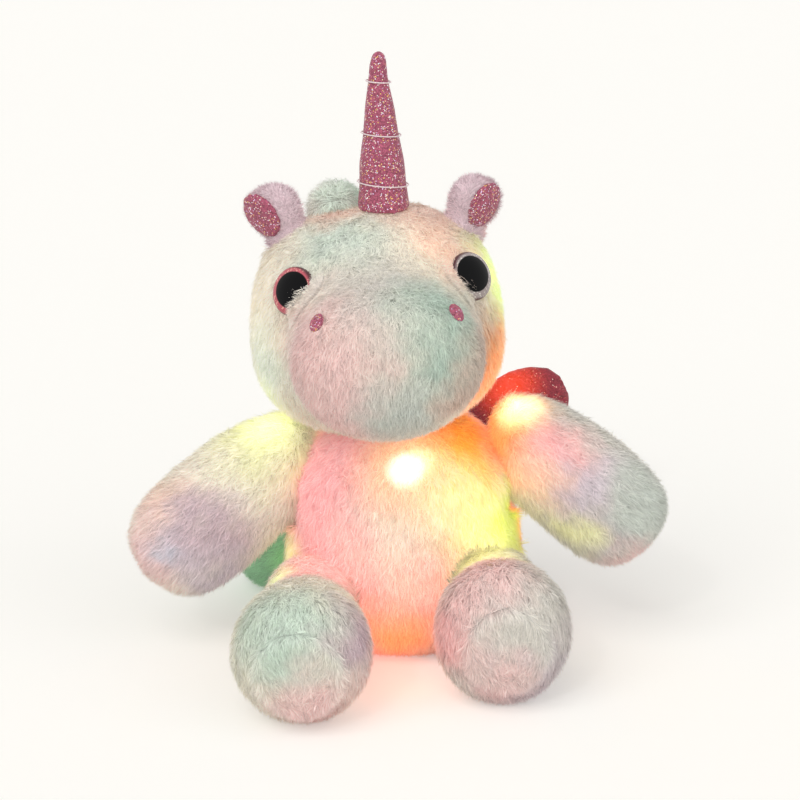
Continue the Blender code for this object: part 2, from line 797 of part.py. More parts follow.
head_outside = head_form("head_outside", 0.0)
head_skin = head_form("head_skin", 0.0, None, HEAD_PLUSH)
head_inside = head_form("head_inside", CLOTH)
head_filling = head_form("head_filling", CLOTH + FILL_GAP, None, FIBRE)
head_bed = head_form("head_bed", -1.5 * GAP)
for form in (head_skin, head_inside, head_filling):
    move(form, HEAD_POSE)
cut(head_skin, neck_seat("neck_seat", SWING_GAP))
cut(head_inside, neck_seat("neck_seat_inside", SWING_GAP + CLOTH))
cut(head_filling, neck_seat("neck_seat_filling", SWING_GAP + CLOTH + FILL_GAP))
head_neck_hole = rod("head_neck_hole", NECK_CENTRE, (0, 0, HEAD_CENTRE_HEIGHT), NECK_HOLE_RADIUS,
                     steps=TURN_STEPS)
settle(head_inside)
cut(head_skin, head_inside, head_neck_hole)

# Muzzle, cut to lie on the head

MUZZLE_CENTRE = Vector((MUZZLE_SHIFT_X, 0, -MUZZLE_DROP))
muzzle_rings = []
for reach, width, height in MUZZLE_RING_SHARES:
    centre = MUZZLE_CENTRE + Vector((0, -reach * MUZZLE_REACH, 0))
    half_height = height * MUZZLE_HALF_HEIGHT
    muzzle_rings.append((centre, width * MUZZLE_HALF_WIDTH, half_height, half_height))
muzzle_root = MUZZLE_CENTRE + Vector((0, -MUZZLE_ROOT_SHARE * MUZZLE_REACH, 0))
muzzle_nose = MUZZLE_CENTRE + Vector((0, -MUZZLE_REACH, 0))
muzzle = soft_form("muzzle", muzzle_rings, muzzle_root, muzzle_nose, Vector((1, 0, 0)), MUZZLE_PLUSH,
                   BODY_SEGMENTS)
muzzle_outside = copy_of(muzzle, "muzzle_outside")
cut(muzzle, head_bed)

nostrils = []
for side, sign in (("left", 1), ("right", -1)):
    origin = MUZZLE_CENTRE + Vector((sign * NOSTRIL_SPREAD, -MUZZLE_FULL_SHARE * MUZZLE_REACH, NOSTRIL_RISE))
    place, normal = surface_hit(muzzle_outside, origin, (0, -1, 0))
    nostrils.append(inlaid_pad(side + "_nostril", muzzle, facing(place, normal), NOSTRIL_HALF_WIDTH,
                               NOSTRIL_HALF_HEIGHT, PATCH_HALF_THICKNESS, ROSE_GLITTER))
settle(muzzle)
for piece in (muzzle, *nostrils):
    move(piece, HEAD_POSE)

# Safety eyes: clear dome and shank, glitter disc behind it, lock washer inside the head

eye_pieces = []
for side, sign in (("left", 1), ("right", -1)):
    origin = Vector((EYE_SHIFT_X + sign * EYE_SPREAD, 0, EYE_RISE))
    place, normal = surface_hit(head_outside, origin, (0, -1, 0))
    seat = HEAD_POSE @ facing(place, normal) @ Matrix.Translation((0, 0, -EYE_SINK))
    disc_low = GAP
    disc_high = disc_low + GLITTER_DISC_THICKNESS
    dome_low = disc_high + GAP
    profile = []
    for step in range(6):
        angle = math.radians(90) * step / 5
        profile.append((EYE_RADIUS * math.sin(angle), dome_low + EYE_RIM + EYE_DOME * math.cos(angle)))
    profile += [(EYE_RADIUS, dome_low), (EYE_SHANK_RADIUS, dome_low), (EYE_SHANK_RADIUS, -EYE_SHANK_LENGTH)]
    profile += [(0, -EYE_SHANK_LENGTH)]
    eye = move(turned(side + "_eye", profile, CLEAR_PLASTIC), seat)
    hole = EYE_SHANK_RADIUS + GAP
    ring = [(hole, disc_high), (GLITTER_DISC_RADIUS, disc_high), (GLITTER_DISC_RADIUS, disc_low),
            (hole, disc_low)]
    disc = move(turned(side + "_eye_glitter_disc", ring, ROSE_GLITTER, closed=True), seat)
    washer_high = EYE_SINK - CLOTH - WASHER_GAP
    washer_low = washer_high - WASHER_THICKNESS
    ring = [(hole, washer_high), (WASHER_RADIUS, washer_high), (WASHER_RADIUS, washer_low),
            (hole, washer_low)]
    washer = move(turned(side + "_eye_washer", ring, WHITE_PLASTIC, FINE_STEPS, closed=True), seat)
    bore = rod(side + "_eye_bore", seat @ Vector((0, 0, OVERRUN)),
               seat @ Vector((0, 0, -EYE_SHANK_LENGTH - GAP)),
               EYE_SHANK_RADIUS + GAP)
    spot = rod(side + "_eye_spot", seat @ Vector((0, 0, OVERRUN)), seat @ Vector((0, 0, 0)),
               EYE_RADIUS + GAP,
               steps=TURN_STEPS)
    bed = rod(side + "_washer_bed", seat @ Vector((0, 0, 0)), seat @ Vector((0, 0, washer_low - GAP)),
              WASHER_RADIUS + GAP)
    cut(head_skin, bore, spot)
    cut(muzzle, spot)
    cut(head_filling, bore, bed)
    eye_pieces += [eye, disc, washer]

# Horn, with thread wound round its three waists

horn_place = Matrix.Translation((HORN_X, HORN_Y, HORN_BASE_HEIGHT))
horn_frame = horn_place @ Matrix.Rotation(math.radians(HORN_LEAN), 4, "Y")
horn_rings = []
for height, radius, sideways in HORN_RING_SHARES:
    centre = (sideways * HORN_RADIUS, 0, height * HORN_LENGTH)
    horn_rings.append((centre, *3 * (radius * HORN_RADIUS,)))
horn = soft_form("horn", horn_rings, (0, 0, 0), (0, 0, HORN_POLE_SHARE * HORN_LENGTH), Vector((1, 0, 0)),
                 ROSE_GLITTER, SMALL_SEGMENTS)
horn_outside = copy_of(horn, "horn_outside")
thread_rings = []
for share in THREAD_HEIGHT_SHARES:
    sideways = next(ring[2] for ring in HORN_RING_SHARES if ring[0] == share)
    centre = Vector((sideways * HORN_RADIUS, 0, share * HORN_LENGTH))
    points = []
    for step in range(FINE_STEPS):
        turn = math.tau * step / FINE_STEPS
        outwards = Vector((math.cos(turn), math.sin(turn),
                           -math.cos(turn) * math.tan(math.radians(THREAD_TILT))))
        place, _ = surface_hit(horn_outside, centre, outwards)
        flat = Vector((outwards.x, outwards.y, 0)).normalized()
        points.append(place + flat * (THREAD_RADIUS + 2 * GAP))
    thread_rings.append(points)
thread = None
for index, points in enumerate(thread_rings):
    home = None if index == 0 else CUTTERS
    loop = wire("horn_thread" if index == 0 else "thread_loop_%d" % index, points, THREAD_RADIUS,
                SILVER_THREAD if index == 0 else None, home, closed=True)
    if thread is None:
        thread = loop
    else:
        join(thread, loop)
run = []
for step in range(SMALL_STEPS + 1):
    rise = THREAD_HEIGHT_SHARES[-1] - THREAD_HEIGHT_SHARES[0]
    share = THREAD_HEIGHT_SHARES[0] + rise * step / SMALL_STEPS
    place, _ = surface_hit(horn_outside, (0, 0, share * HORN_LENGTH), (0, 1, 0))
    run.append(place + Vector((0, THREAD_RADIUS + 2 * GAP, 0)))
join(thread, wire("thread_run", run, THREAD_RADIUS, None, CUTTERS))
settle(thread)
for piece in (horn, thread):
    move(piece, HEAD_POSE @ horn_frame)
horn_bed = move(copy_of(head_bed, "horn_bed"), HEAD_POSE)
cut(horn, horn_bed)

# Ears, each on a round root sewn into the head, with a glitter lining laid into its cup

ear_groups = []
for side, sign in (("left", 1), ("right", -1)):
    lean = math.radians(EAR_LEAN)
    upwards = Vector((sign * math.sin(lean), 0, math.cos(lean)))
    outwards = azimuth(-90 + sign * EAR_FACING)
    normal = (outwards - outwards.dot(upwards) * upwards).normalized()
    across = upwards.cross(normal)
    base, _ = surface_hit(head_outside, (0, EAR_BACK, 0), (EAR_SHIFT_X + sign * EAR_SPREAD, 0, EAR_RISE))
    base = base - upwards * EAR_ROOT_RADIUS / 3
    rings = []
    for height, width, thick in EAR_RING_SHARES:
        half = thick * EAR_HALF_THICKNESS
        rings.append((base + upwards * height * EAR_LENGTH, width * EAR_HALF_WIDTH, half, half))
    start = base - upwards * EAR_ROOT_RADIUS / 2
    ear = soft_form(side + "_ear", rings, start, base + upwards * EAR_POLE_SHARE * EAR_LENGTH, across,
                    LIMB_PLUSH,
                    SMALL_SEGMENTS)
    half_axis = across * EAR_ROOT_HALF_LENGTH
    root = capsule(side + "_ear_root", base - half_axis, base + half_axis, EAR_ROOT_RADIUS,
                   steps=SMALL_STEPS, rings=ROOT_RINGS)
    join(ear, root)
    middle = base + upwards * LINING_HEIGHT_SHARE * EAR_LENGTH
    place = middle + normal * EAR_HALF_THICKNESS
    lining = inlaid_pad(side + "_ear_lining", ear, facing(place, normal, upwards), LINING_HALF_WIDTH,
                        LINING_HALF_LENGTH, LINING_HALF_THICKNESS, ROSE_GLITTER)
    settle(ear)
    socket = capsule(side + "_ear_socket", base - half_axis, base + half_axis, EAR_ROOT_RADIUS + SWING_GAP,
                     rings=ROOT_RINGS)
    for piece in (ear, lining, socket):
        move(piece, HEAD_POSE)
    cut(head_skin, socket)
    cut(head_filling, socket)
    pivot = joint_empty(side + "_ear_pivot", HEAD_POSE @ base)
    axis = (HEAD_POSE.to_3x3() @ across).normalized()
    ear_groups.append((pivot, ear, lining))

# Mane, cut to lie on the head and clear of the horn


def head_place(shares):
    return Vector((shares[0] * HEAD_HALF_WIDTH, shares[1] * HEAD_HALF_DEPTH, shares[2] * HEAD_HALF_HEIGHT))


mane_size = (MANE_HALF_WIDTH, MANE_HALF_HEIGHT, MANE_HALF_HEIGHT)
mane_rings = [(head_place(shares), *mane_size) for shares in MANE_PATH_SHARES]
mane = soft_form("mane", mane_rings, head_place(MANE_FRONT_SHARES), head_place(MANE_NAPE_SHARES),
                 Vector((1, 0, 0)), GREEN_PLUSH, SMALL_SEGMENTS)
cut(mane, head_bed)
settle(mane)
move(mane, HEAD_POSE)
horn_clear = move(soft_form("horn_clear", [(ring[0], *3 * (ring[1] + 2 * GAP,)) for ring in horn_rings],
                            (0, 0, -GAP), (0, 0, HORN_POLE_SHARE * HORN_LENGTH), Vector((1, 0, 0)), None,
                            SMALL_SEGMENTS, CUTTERS), HEAD_POSE @ horn_frame)
cut(mane, horn_clear)

# Arms, each against a flat seat on the body's side

def arm_cap(name, sign, shoulder, grow):
    """The round shoulder, turned about the arm's axis, that bulges from the arm into the body."""
    radius = (ARM_CAP_RADIUS ** 2 + ARM_CAP_BULGE ** 2) / (2 * ARM_CAP_BULGE)
    limit = math.asin(ARM_CAP_RADIUS / radius)
    depth = radius - ARM_CAP_BULGE
    profile = []
    for step in range(CAP_STEPS + 1):
        angle = limit * step / CAP_STEPS
        profile.append(((radius + grow) * math.sin(angle), (radius + grow) * math.cos(angle) - depth))
    profile += [(profile[-1][0], -ARM_CAP_BULGE), (0, -ARM_CAP_BULGE)]
    made = turned(name, profile, None, TURN_STEPS, CUTTERS)
    return move(made, Matrix.Translation(shoulder) @ Matrix.Rotation(-sign * math.radians(90), 4, "Y"))


arm_groups = []
for side, sign, reach, half, shares, tip in (
    ("left", 1, LEFT_ARM_REACH, LEFT_ARM_HALF_WIDTH, LEFT_ARM_RING_SHARES, LEFT_ARM_TIP_SHARES),
    ("right", -1, RIGHT_ARM_REACH, RIGHT_ARM_HALF_WIDTH, RIGHT_ARM_RING_SHARES, RIGHT_ARM_TIP_SHARES),
):
    seat_x = SHOULDER_REACH + GAP
    shoulder = Vector((sign * seat_x, 0, SHOULDER_HEIGHT + sign * SHOULDER_TILT))

    def arm_place(outward, forward, down):
        return shoulder + Vector((sign * outward * reach, forward * reach, -down * reach))

    rings = []
    for outward, forward, down, width, thick in shares:
        rings.append((arm_place(outward, forward, down), thick * half, width * half, width * half))
    inner = arm_place(3 * shares[0][0], shares[0][1], shares[0][2])
    arm = soft_form(side + "_arm", rings, inner, arm_place(*tip), Vector((0, 1, 0)), LIMB_PLUSH)
    wide = BODY_HEIGHT
    trim = block(side + "_arm_trim", (-seat_x, -wide, -wide), (seat_x, wide, 2 * wide))
    cut(arm, trim)
    settle(arm)
    join(arm, arm_cap(side + "_arm_cap", sign, shoulder, 0.0))
    settle(arm)
    socket = arm_cap(side + "_arm_socket", sign, shoulder, SWING_GAP)
    cut(body_skin, socket)
    cut(body_filling, socket)
    pivot = joint_empty(side + "_shoulder_pivot", shoulder)
    arm_groups.append((pivot, arm))

# Legs, each on a round root in the body's lower front, with a sole panel laid into the foot

leg_groups = []
for side, sign, hip_y, length, foot_width, foot_height in (
    ("left", 1, LEFT_HIP_Y, LEFT_LEG_LENGTH, LEFT_FOOT_HALF_WIDTH, LEFT_FOOT_HALF_HEIGHT),
    ("right", -1, RIGHT_HIP_Y, RIGHT_LEG_LENGTH, RIGHT_FOOT_HALF_WIDTH, RIGHT_FOOT_HALF_HEIGHT),
):
    hip = Vector((sign * HIP_SPREAD, hip_y, HIP_HEIGHT))
    foot = Vector((sign * FOOT_SPREAD, hip_y - length, foot_height))
    rings = []
    for along, growth in LEG_RING_SHARES:
        half_width = LEG_HALF_WIDTH + growth * (foot_width - LEG_HALF_WIDTH)
        half_height = LEG_HALF_WIDTH + growth * (foot_height - LEG_HALF_WIDTH)
        if along > UNIT:
            half_width = growth * foot_width
            half_height = growth * foot_height
        rings.append((hip.lerp(foot, along), half_width, half_height, half_height))
    leg = soft_form(side + "_leg", rings, hip.lerp(foot, LEG_ROOT_SHARE), hip.lerp(foot, FOOT_FRONT_SHARE),
                    Vector((1, 0, 0)), LIMB_PLUSH)
    root = sphere(side + "_leg_root", hip, HIP_ROOT_RADIUS, steps=FINE_STEPS, rings=ROOT_RINGS)
    front, _ = surface_hit(leg, foot, foot - hip)
    wide = BODY_HEIGHT
    floor_trim = block(side + "_leg_floor", (-wide, -2 * wide, -OVERRUN), (wide, wide, 0))
    join(leg, root)
    cut(leg, floor_trim)
    sole_half = SOLE_HALF_WIDTH_SHARE * foot_width
    sole = inlaid_pad(side + "_sole", leg, facing(front, foot - hip), sole_half, sole_half,
                      SOLE_HALF_THICKNESS,
                      MUZZLE_PLUSH)
    settle(leg)
    room = bmesh.new()
    room.from_mesh(sphere(side + "_hip_socket", hip, HIP_ROOT_RADIUS + SWING_GAP).data)
    for lift in (-LEG_ROOM_LOWER, (LEG_ROOM_RAISE - LEG_ROOM_LOWER) / 2, LEG_ROOM_RAISE):
        away = Vector((0, -math.cos(math.radians(lift)), math.sin(math.radians(lift))))
        place = Matrix.Translation(hip + away * length) @ away.to_track_quat("Z", "Y").to_matrix().to_4x4()
        bmesh.ops.create_circle(room, segments=TURN_STEPS, radius=LEG_HALF_WIDTH + SWING_GAP, matrix=place)
    hull = bmesh.ops.convex_hull(room, input=room.verts)
    left_over = hull["geom_interior"] + hull["geom_unused"]
    inner = [item for item in left_over if isinstance(item, bmesh.types.BMVert)]
    bmesh.ops.delete(room, geom=inner, context="VERTS")
    old_faces = [face for face in room.faces if face not in set(hull["geom"])]
    bmesh.ops.delete(room, geom=old_faces, context="FACES_ONLY")
    leg_room = from_bmesh(side + "_leg_room", room, None, CUTTERS)
    cut(body_skin, leg_room)
    cut(body_filling, leg_room)
    pivot = joint_empty(side + "_hip_pivot", hip)
    leg_groups.append((pivot, leg, sole))

# Wings on their upright seams

wing_groups = []
for side, sign, angle in (("left", 1, LEFT_WING_ANGLE), ("right", -1, RIGHT_WING_ANGLE)):
    seam_y = BODY_HALF_BACK - WING_SEAM_INSET
    low = Vector((sign * WING_SEAM_SPREAD, seam_y, WING_SEAM_LOW))
    high = Vector((sign * WING_SEAM_SPREAD, seam_y, WING_SEAM_HIGH))
    middle = (low + high) / 2
    turn = math.radians(angle)
    outwards = Vector((sign * math.cos(turn), math.sin(turn), 0))
    bulge = Vector((-sign * math.sin(turn), math.cos(turn), 0))
    rings = []
    for span, height, thick, lift, puff in WING_RING_SHARES:
        centre = middle + outwards * span * WING_SPAN + bulge * puff * WING_SPAN
        centre.z += lift * WING_HALF_HEIGHT
        half_thick = thick * WING_HALF_THICKNESS
        half_height = height * WING_HALF_HEIGHT
        rings.append((centre, half_thick, half_height, half_height))
    tip = middle + outwards * WING_TIP_SHARES[0] * WING_SPAN
    tip.z += WING_TIP_SHARES[1] * WING_HALF_HEIGHT
    wing = soft_form(side + "_wing", rings, middle, tip, bulge, CRIMSON_GLITTER, SMALL_SEGMENTS)
    join(wing, capsule(side + "_wing_root", low, high, WING_ROOT_RADIUS, steps=SMALL_STEPS,
                       rings=ROOT_RINGS))
    settle(wing)
    socket = capsule(side + "_wing_socket", low, high, WING_ROOT_RADIUS + SWING_GAP, rings=ROOT_RINGS)
    cut(body_skin, socket)
    cut(body_filling, socket)
    pivot = joint_empty(side + "_wing_pivot", middle)
    wing_groups.append((pivot, wing))

# Tail

tail_root = Vector((0, BODY_HALF_BACK + TAIL_ROOT_INSET, TAIL_ROOT_HEIGHT))
tail_rings = []
for sideways, backward, size in TAIL_RING_SHARES:
    half = size * TAIL_HALF_SIZE
    rest = tail_root.z + (TAIL_HALF_SIZE - tail_root.z) * size
    centre = Vector((tail_root.x + sideways * TAIL_REACH, tail_root.y + backward * TAIL_REACH,
                     max(rest, half)))
    tail_rings.append((centre, half, half, half))
tail_tip = Vector((TAIL_TIP_SHARES[0] * TAIL_REACH, tail_root.y + TAIL_TIP_SHARES[1] * TAIL_REACH,
                   TAIL_HALF_SIZE))
tail = soft_form("tail", tail_rings, tail_root, tail_tip, Vector((0, 0, 1)), GREEN_PLUSH, SMALL_SEGMENTS)
join(tail, sphere("tail_root_ball", tail_root, TAIL_ROOT_RADIUS, steps=FINE_STEPS))
tail_floor = block("tail_floor", (-BODY_HEIGHT, 0, -OVERRUN), (BODY_HEIGHT, 2 * BODY_HEIGHT, 0))
cut(tail, tail_floor)
settle(tail)
tail_socket = sphere("tail_socket", tail_root, TAIL_ROOT_RADIUS + SWING_GAP)
cut(body_skin, tail_socket)
cut(body_filling, tail_socket)
tail_pivot = joint_empty("tail_pivot", tail_root)

# Zip: two tapes, two rows of teeth, end stops, slider and pull tab

ZIP_Y = BODY_HALF_BACK - ZIP_INSET
ZIP_LOW = ZIP_CENTRE_HEIGHT - ZIP_LENGTH / 2
ZIP_HIGH = ZIP_CENTRE_HEIGHT + ZIP_LENGTH / 2
TAPE_INNER = TEETH_SPLIT / 2 + TOOTH_REACH - TOOTH_BITE + GAP
TAPE_OUTER = TAPE_INNER + ZIP_TAPE_WIDTH
mouth = block("zip_mouth", (-TAPE_OUTER - GAP, ZIP_Y - OVERRUN / 2, ZIP_LOW - GAP),
              (TAPE_OUTER + GAP, ZIP_Y + OVERRUN, ZIP_HIGH + GAP))
cut(body_skin, mouth)
teeth_low = ZIP_LOW + STOP_LENGTH + TOOTH_PITCH
teeth_high = ZIP_HIGH - SLIDER_LENGTH
tooth_count = int((teeth_high - teeth_low) / TOOTH_PITCH)
for side, sign in (("left", 1), ("right", -1)):
    inner = sign * TAPE_INNER
    outer = sign * TAPE_OUTER
    tape = block(side + "_zip_tape", (min(inner, outer), ZIP_Y - ZIP_TAPE_THICKNESS / 2, ZIP_LOW),
                 (max(inner, outer), ZIP_Y + ZIP_TAPE_THICKNESS / 2, ZIP_HIGH), ZIP_CLOTH, None)
    nose = sign * TEETH_SPLIT / 2
    bite = sign * (TEETH_SPLIT / 2 + TOOTH_REACH - TOOTH_BITE)
    heel = sign * (TEETH_SPLIT / 2 + TOOTH_REACH)
    slot = ZIP_TAPE_THICKNESS / 2 + GAP
    half = TOOTH_HEIGHT / 2
    outline = [(nose, -half / 2), (nose, half / 2), (heel, half), (heel, slot), (bite, slot),
               (bite, -slot), (heel, -slot), (heel, -half)]
    row = bmesh.new()
    pattern = flat_solid(side + "_tooth_pattern", [outline], TOOTH_LENGTH)
    shift = TOOTH_PITCH / 2 if sign > 0 else 0.0
    for index in range(tooth_count):
        height = teeth_low + index * TOOTH_PITCH + shift
        start = len(row.verts)
        row.from_mesh(pattern.data)
        row.verts.ensure_lookup_table()
        bmesh.ops.translate(row, verts=row.verts[start:], vec=(0, ZIP_Y, height))
    teeth = from_bmesh(side + "_zip_teeth", row, ZIP_PLASTIC)
    bpy.data.objects.remove(pattern, do_unlink=True)
    near, far = sorted((bite, heel - sign * GAP))
    first = teeth_low + shift
    spine = block(side + "_zip_spine", (near, ZIP_Y + slot + GAP / 3, first),
                  (far, ZIP_Y + slot + ZIP_SPINE, first + (tooth_count - 1) * TOOTH_PITCH))
    join(teeth, spine)
    settle(teeth)

stop_half = TEETH_SPLIT / 2 + TOOTH_REACH - TOOTH_BITE
bottom_stop = block("zip_bottom_stop", (-stop_half, ZIP_Y - TOOTH_HEIGHT / 2, ZIP_LOW + GAP),
                    (stop_half, ZIP_Y + TOOTH_HEIGHT / 2, ZIP_LOW + STOP_LENGTH), ZIP_PLASTIC, None, GAP, 1)

SLIDER_HIGH = ZIP_HIGH - 2 * GAP
SLIDER_LOW = SLIDER_HIGH - SLIDER_LENGTH
plate_in = TOOTH_HEIGHT / 2 + SLIDER_GAP
plate_out = plate_in + SLIDER_PLATE
lip_in = ZIP_TAPE_THICKNESS / 2 + SLIDER_GAP
lip_side = SLIDER_HALF_WIDTH - SLIDER_LIP
web = SLIDER_WEB / 2
slider = block("zip_slider", (-SLIDER_HALF_WIDTH, ZIP_Y - plate_out, SLIDER_LOW),
               (SLIDER_HALF_WIDTH, ZIP_Y + plate_out, SLIDER_HIGH), STEEL, None, SLIDER_PLATE / 3, 1)
for sign in (UNIT, -UNIT):
    for label, near, far, half in (("channel", web, lip_side, plate_in), ("lip", web, 2 * lip_side, lip_in)):
        ends = sorted((sign * near, sign * far))
        way = block("slider_%s_%d" % (label, sign), (ends[0], ZIP_Y - half, SLIDER_LOW - OVERRUN / 4),
                    (ends[1], ZIP_Y + half, SLIDER_HIGH + OVERRUN / 4))
        cut(slider, way)
settle(slider)
bail_y = ZIP_Y + plate_out
bail_mid = (SLIDER_HIGH + SLIDER_LOW) / 2
bail_half = SLIDER_LENGTH / 3
bail_path = []
for step in range(SMALL_STEPS + 1):
    angle = math.pi * step / SMALL_STEPS
    bail_path.append((0, bail_y - BAIL_WIRE / 2 + (BAIL_HEIGHT + BAIL_WIRE / 2) * math.sin(angle),
                      bail_mid - bail_half * math.cos(angle)))
bail = wire("zip_bail", bail_path, BAIL_WIRE / 2, None, CUTTERS)
join(slider, bail)
settle(slider)
slider_pivot = joint_empty("zip_slider_slide", (0, ZIP_Y, bail_mid))

pull_axis = Vector((0, bail_y + (BAIL_HEIGHT - BAIL_WIRE) / 2, bail_mid + bail_half / 4))
loop_half = PULL_WIDTH / 2
hole_half = loop_half - PULL_BAR
bar = PULL_BAR / 2
outline = [(-loop_half, bar), (loop_half, bar), (loop_half, -PULL_LENGTH / 2),
           (loop_half * PULL_FLARE_SHARE, -PULL_LENGTH * PULL_WIDEST_SHARE), (loop_half, -PULL_LENGTH),
           (-loop_half, -PULL_LENGTH), (-loop_half * PULL_FLARE_SHARE, -PULL_LENGTH * PULL_WIDEST_SHARE),
           (-loop_half, -PULL_LENGTH / 2)]
window = [(-hole_half, -bar - PULL_WINDOW), (hole_half, -bar - PULL_WINDOW), (hole_half, -bar),
          (-hole_half, -bar)]
pull = flat_solid("zip_pull", [outline, window], PULL_THICKNESS, ZIP_PLASTIC, None)
move(pull, Matrix.Translation(pull_axis) @ Matrix.Rotation(math.radians(90), 4, "X"))
pull_pivot = joint_empty("zip_pull_pivot", pull_axis)

# Battery case in its cloth pouch

cell_pitch = 2 * CELL_RADIUS + 2 * GAP
case_inner_height = CELL_COUNT * cell_pitch
bay_length = CELL_LENGTH + CELL_NUB_LENGTH + SPRING_SPACE + 2 * CONTACT_THICKNESS + 4 * GAP
case_length = bay_length + SWITCH_BAY + DIVIDER + 2 * CASE_WALL
case_height = case_inner_height + 2 * CASE_WALL
case_depth = CASE_WALL + 2 * CELL_RADIUS + 2 * GAP + LID_THICKNESS
CASE_LOW = Vector((SCREW_BOSS_RADIUS * BOSS_SHIFT_SHARE - case_length / 2, CASE_FRONT_Y,
                   ZIP_CENTRE_HEIGHT - case_height / 2))
CASE_HIGH = CASE_LOW + Vector((case_length, case_depth, case_height))
bay_low_x = CASE_LOW.x + CASE_WALL
bay_high_x = bay_low_x + bay_length
switch_low_x = bay_high_x + DIVIDER
switch_high_x = CASE_HIGH.x - CASE_WALL
floor_y = CASE_LOW.y + CASE_WALL
rim_y = CASE_HIGH.y - LID_THICKNESS
inner_low_z = CASE_LOW.z + CASE_WALL
inner_high_z = CASE_HIGH.z - CASE_WALL

case = block("battery_case", CASE_LOW, CASE_HIGH, WHITE_PLASTIC, None, CASE_WALL / 2, 1)
bay = block("cell_bay", (bay_low_x, floor_y, inner_low_z), (bay_high_x, CASE_HIGH.y + OVERRUN, inner_high_z))
switch_bay = block("switch_bay", (switch_low_x, floor_y, inner_low_z),
                   (switch_high_x, CASE_HIGH.y - CASE_WALL, inner_high_z))
switch_x = (switch_low_x + switch_high_x) / 2
button_centre = Vector((switch_x, 0, ZIP_CENTRE_HEIGHT))
button_hole = rod("button_hole", (switch_x, floor_y, ZIP_CENTRE_HEIGHT),
                  (switch_x, CASE_HIGH.y + OVERRUN, ZIP_CENTRE_HEIGHT), BUTTON_RADIUS + GAP)
lid_low = Vector((bay_low_x - LID_SEAT, rim_y, inner_low_z - LID_SEAT / 2))
lid_high = Vector((bay_high_x + LID_SEAT / 2, CASE_HIGH.y, inner_high_z + LID_SEAT / 2))
lid_seat = block("lid_seat", lid_low - Vector((GAP, GAP, GAP)), lid_high + Vector((GAP, OVERRUN, GAP)))
cut(case, bay, switch_bay, button_hole, lid_seat)
settle(case)
lid = block("battery_lid", lid_low, lid_high, WHITE_PLASTIC, None)

# Cells lie side by side, each the other way round from its neighbour
cell_places = {}
cells = []
for index in range(CELL_COUNT):
    centre = Vector((0, floor_y + GAP + CELL_RADIUS, inner_low_z + (index + 0.5) * cell_pitch))
    cell_places["cell_%d" % (index + 1)] = centre
    way = 1 if index % 2 == 0 else -1
    negative_x = bay_low_x if way > 0 else bay_high_x
    start = negative_x + way * (SPRING_SPACE + 2 * GAP)
    edge = CELL_RADIUS / 8
    profile = [(0, CELL_LENGTH + CELL_NUB_LENGTH), (CELL_NUB_RADIUS, CELL_LENGTH + CELL_NUB_LENGTH),
               (CELL_NUB_RADIUS, CELL_LENGTH), (CELL_RADIUS - edge, CELL_LENGTH),
               (CELL_RADIUS, CELL_LENGTH - edge),
               (CELL_RADIUS, edge), (CELL_RADIUS - edge, 0), (0, 0)]
    lie = Matrix.Translation((start, centre.y, centre.z)) @ Matrix.Rotation(way * math.radians(90), 4, "Y")
    cells.append(move(turned("cell_%d" % (index + 1), profile, CELL_SLEEVE, SMALL_STEPS), lie))

# name, whether it stands at the +X end, first and last cell it touches, and the cell its spring presses
CONTACTS = (
    ("contact_start", False, "cell_1", "cell_1", "cell_1"),
    ("contact_link_high", True, "cell_1", "cell_2", "cell_2"),
    ("contact_link_low", False, "cell_2", "cell_3", "cell_3"),
    ("contact_end", True, "cell_3", "cell_3", None),
)
for name, high_end, first, last, sprung in CONTACTS:
    way = -1 if high_end else 1
    wall_x = (bay_high_x if high_end else bay_low_x) + way * GAP
    face_x = wall_x + way * CONTACT_THICKNESS
    half = CONTACT_HALF_SIZE
    low = Vector((min(wall_x, face_x), cell_places[first].y - half, cell_places[first].z - half))
    high = Vector((max(wall_x, face_x), cell_places[last].y + half, cell_places[last].z + half))
    contact = block(name, low, high, STEEL, None)
    if sprung is None:
        continue
    centre = cell_places[sprung]
    coil = []
    turns = SPRING_TURNS * COIL_STEPS
    for step in range(turns + 1):
        share = step / turns
        radius = SPRING_RADIUS * (UNIT - share / 2)
        angle = math.tau * SPRING_TURNS * share
        depth = (SPRING_SPACE - CONTACT_THICKNESS - GAP - SPRING_WIRE) * share
        coil.append((face_x + way * depth, centre.y + radius * math.cos(angle),
                     centre.z + radius * math.sin(angle)))
    join(contact, wire(name + "_spring", coil, SPRING_WIRE, None, CUTTERS))
    settle(contact)

board_low = Vector((switch_low_x + 2 * GAP, floor_y + BOARD_STANDOFF, inner_low_z + 2 * GAP))
board_high = Vector((switch_high_x - 2 * GAP, board_low.y + BOARD_THICKNESS, inner_high_z - 2 * GAP))
board = block("circuit_board", board_low, board_high, BOARD_GREEN, None)
switch_floor = board_high.y + GAP
switch_top = switch_floor + SWITCH_HEIGHT
half_switch = SWITCH_SIZE / 2
switch = block("switch_housing", (switch_x - half_switch, switch_floor, ZIP_CENTRE_HEIGHT - half_switch),
               (switch_x + half_switch, switch_top, ZIP_CENTRE_HEIGHT + half_switch), BLACK_PLASTIC, None,
               GAP, 1)
plunger_floor = switch_top - BUTTON_TRAVEL - 3 * GAP
button_bore = rod("button_bore", (switch_x, plunger_floor, ZIP_CENTRE_HEIGHT),
                  (switch_x, switch_top + OVERRUN, ZIP_CENTRE_HEIGHT), BUTTON_RADIUS + GAP)
cut(switch, button_bore)
button_foot = plunger_floor + BUTTON_TRAVEL + GAP
button_tip = CASE_HIGH.y + BUTTON_STAND
button_edge = BUTTON_RADIUS / 5
profile = [(0, button_tip), (BUTTON_RADIUS - button_edge, button_tip),
           (BUTTON_RADIUS, button_tip - button_edge),
           (BUTTON_RADIUS, button_foot), (0, button_foot)]
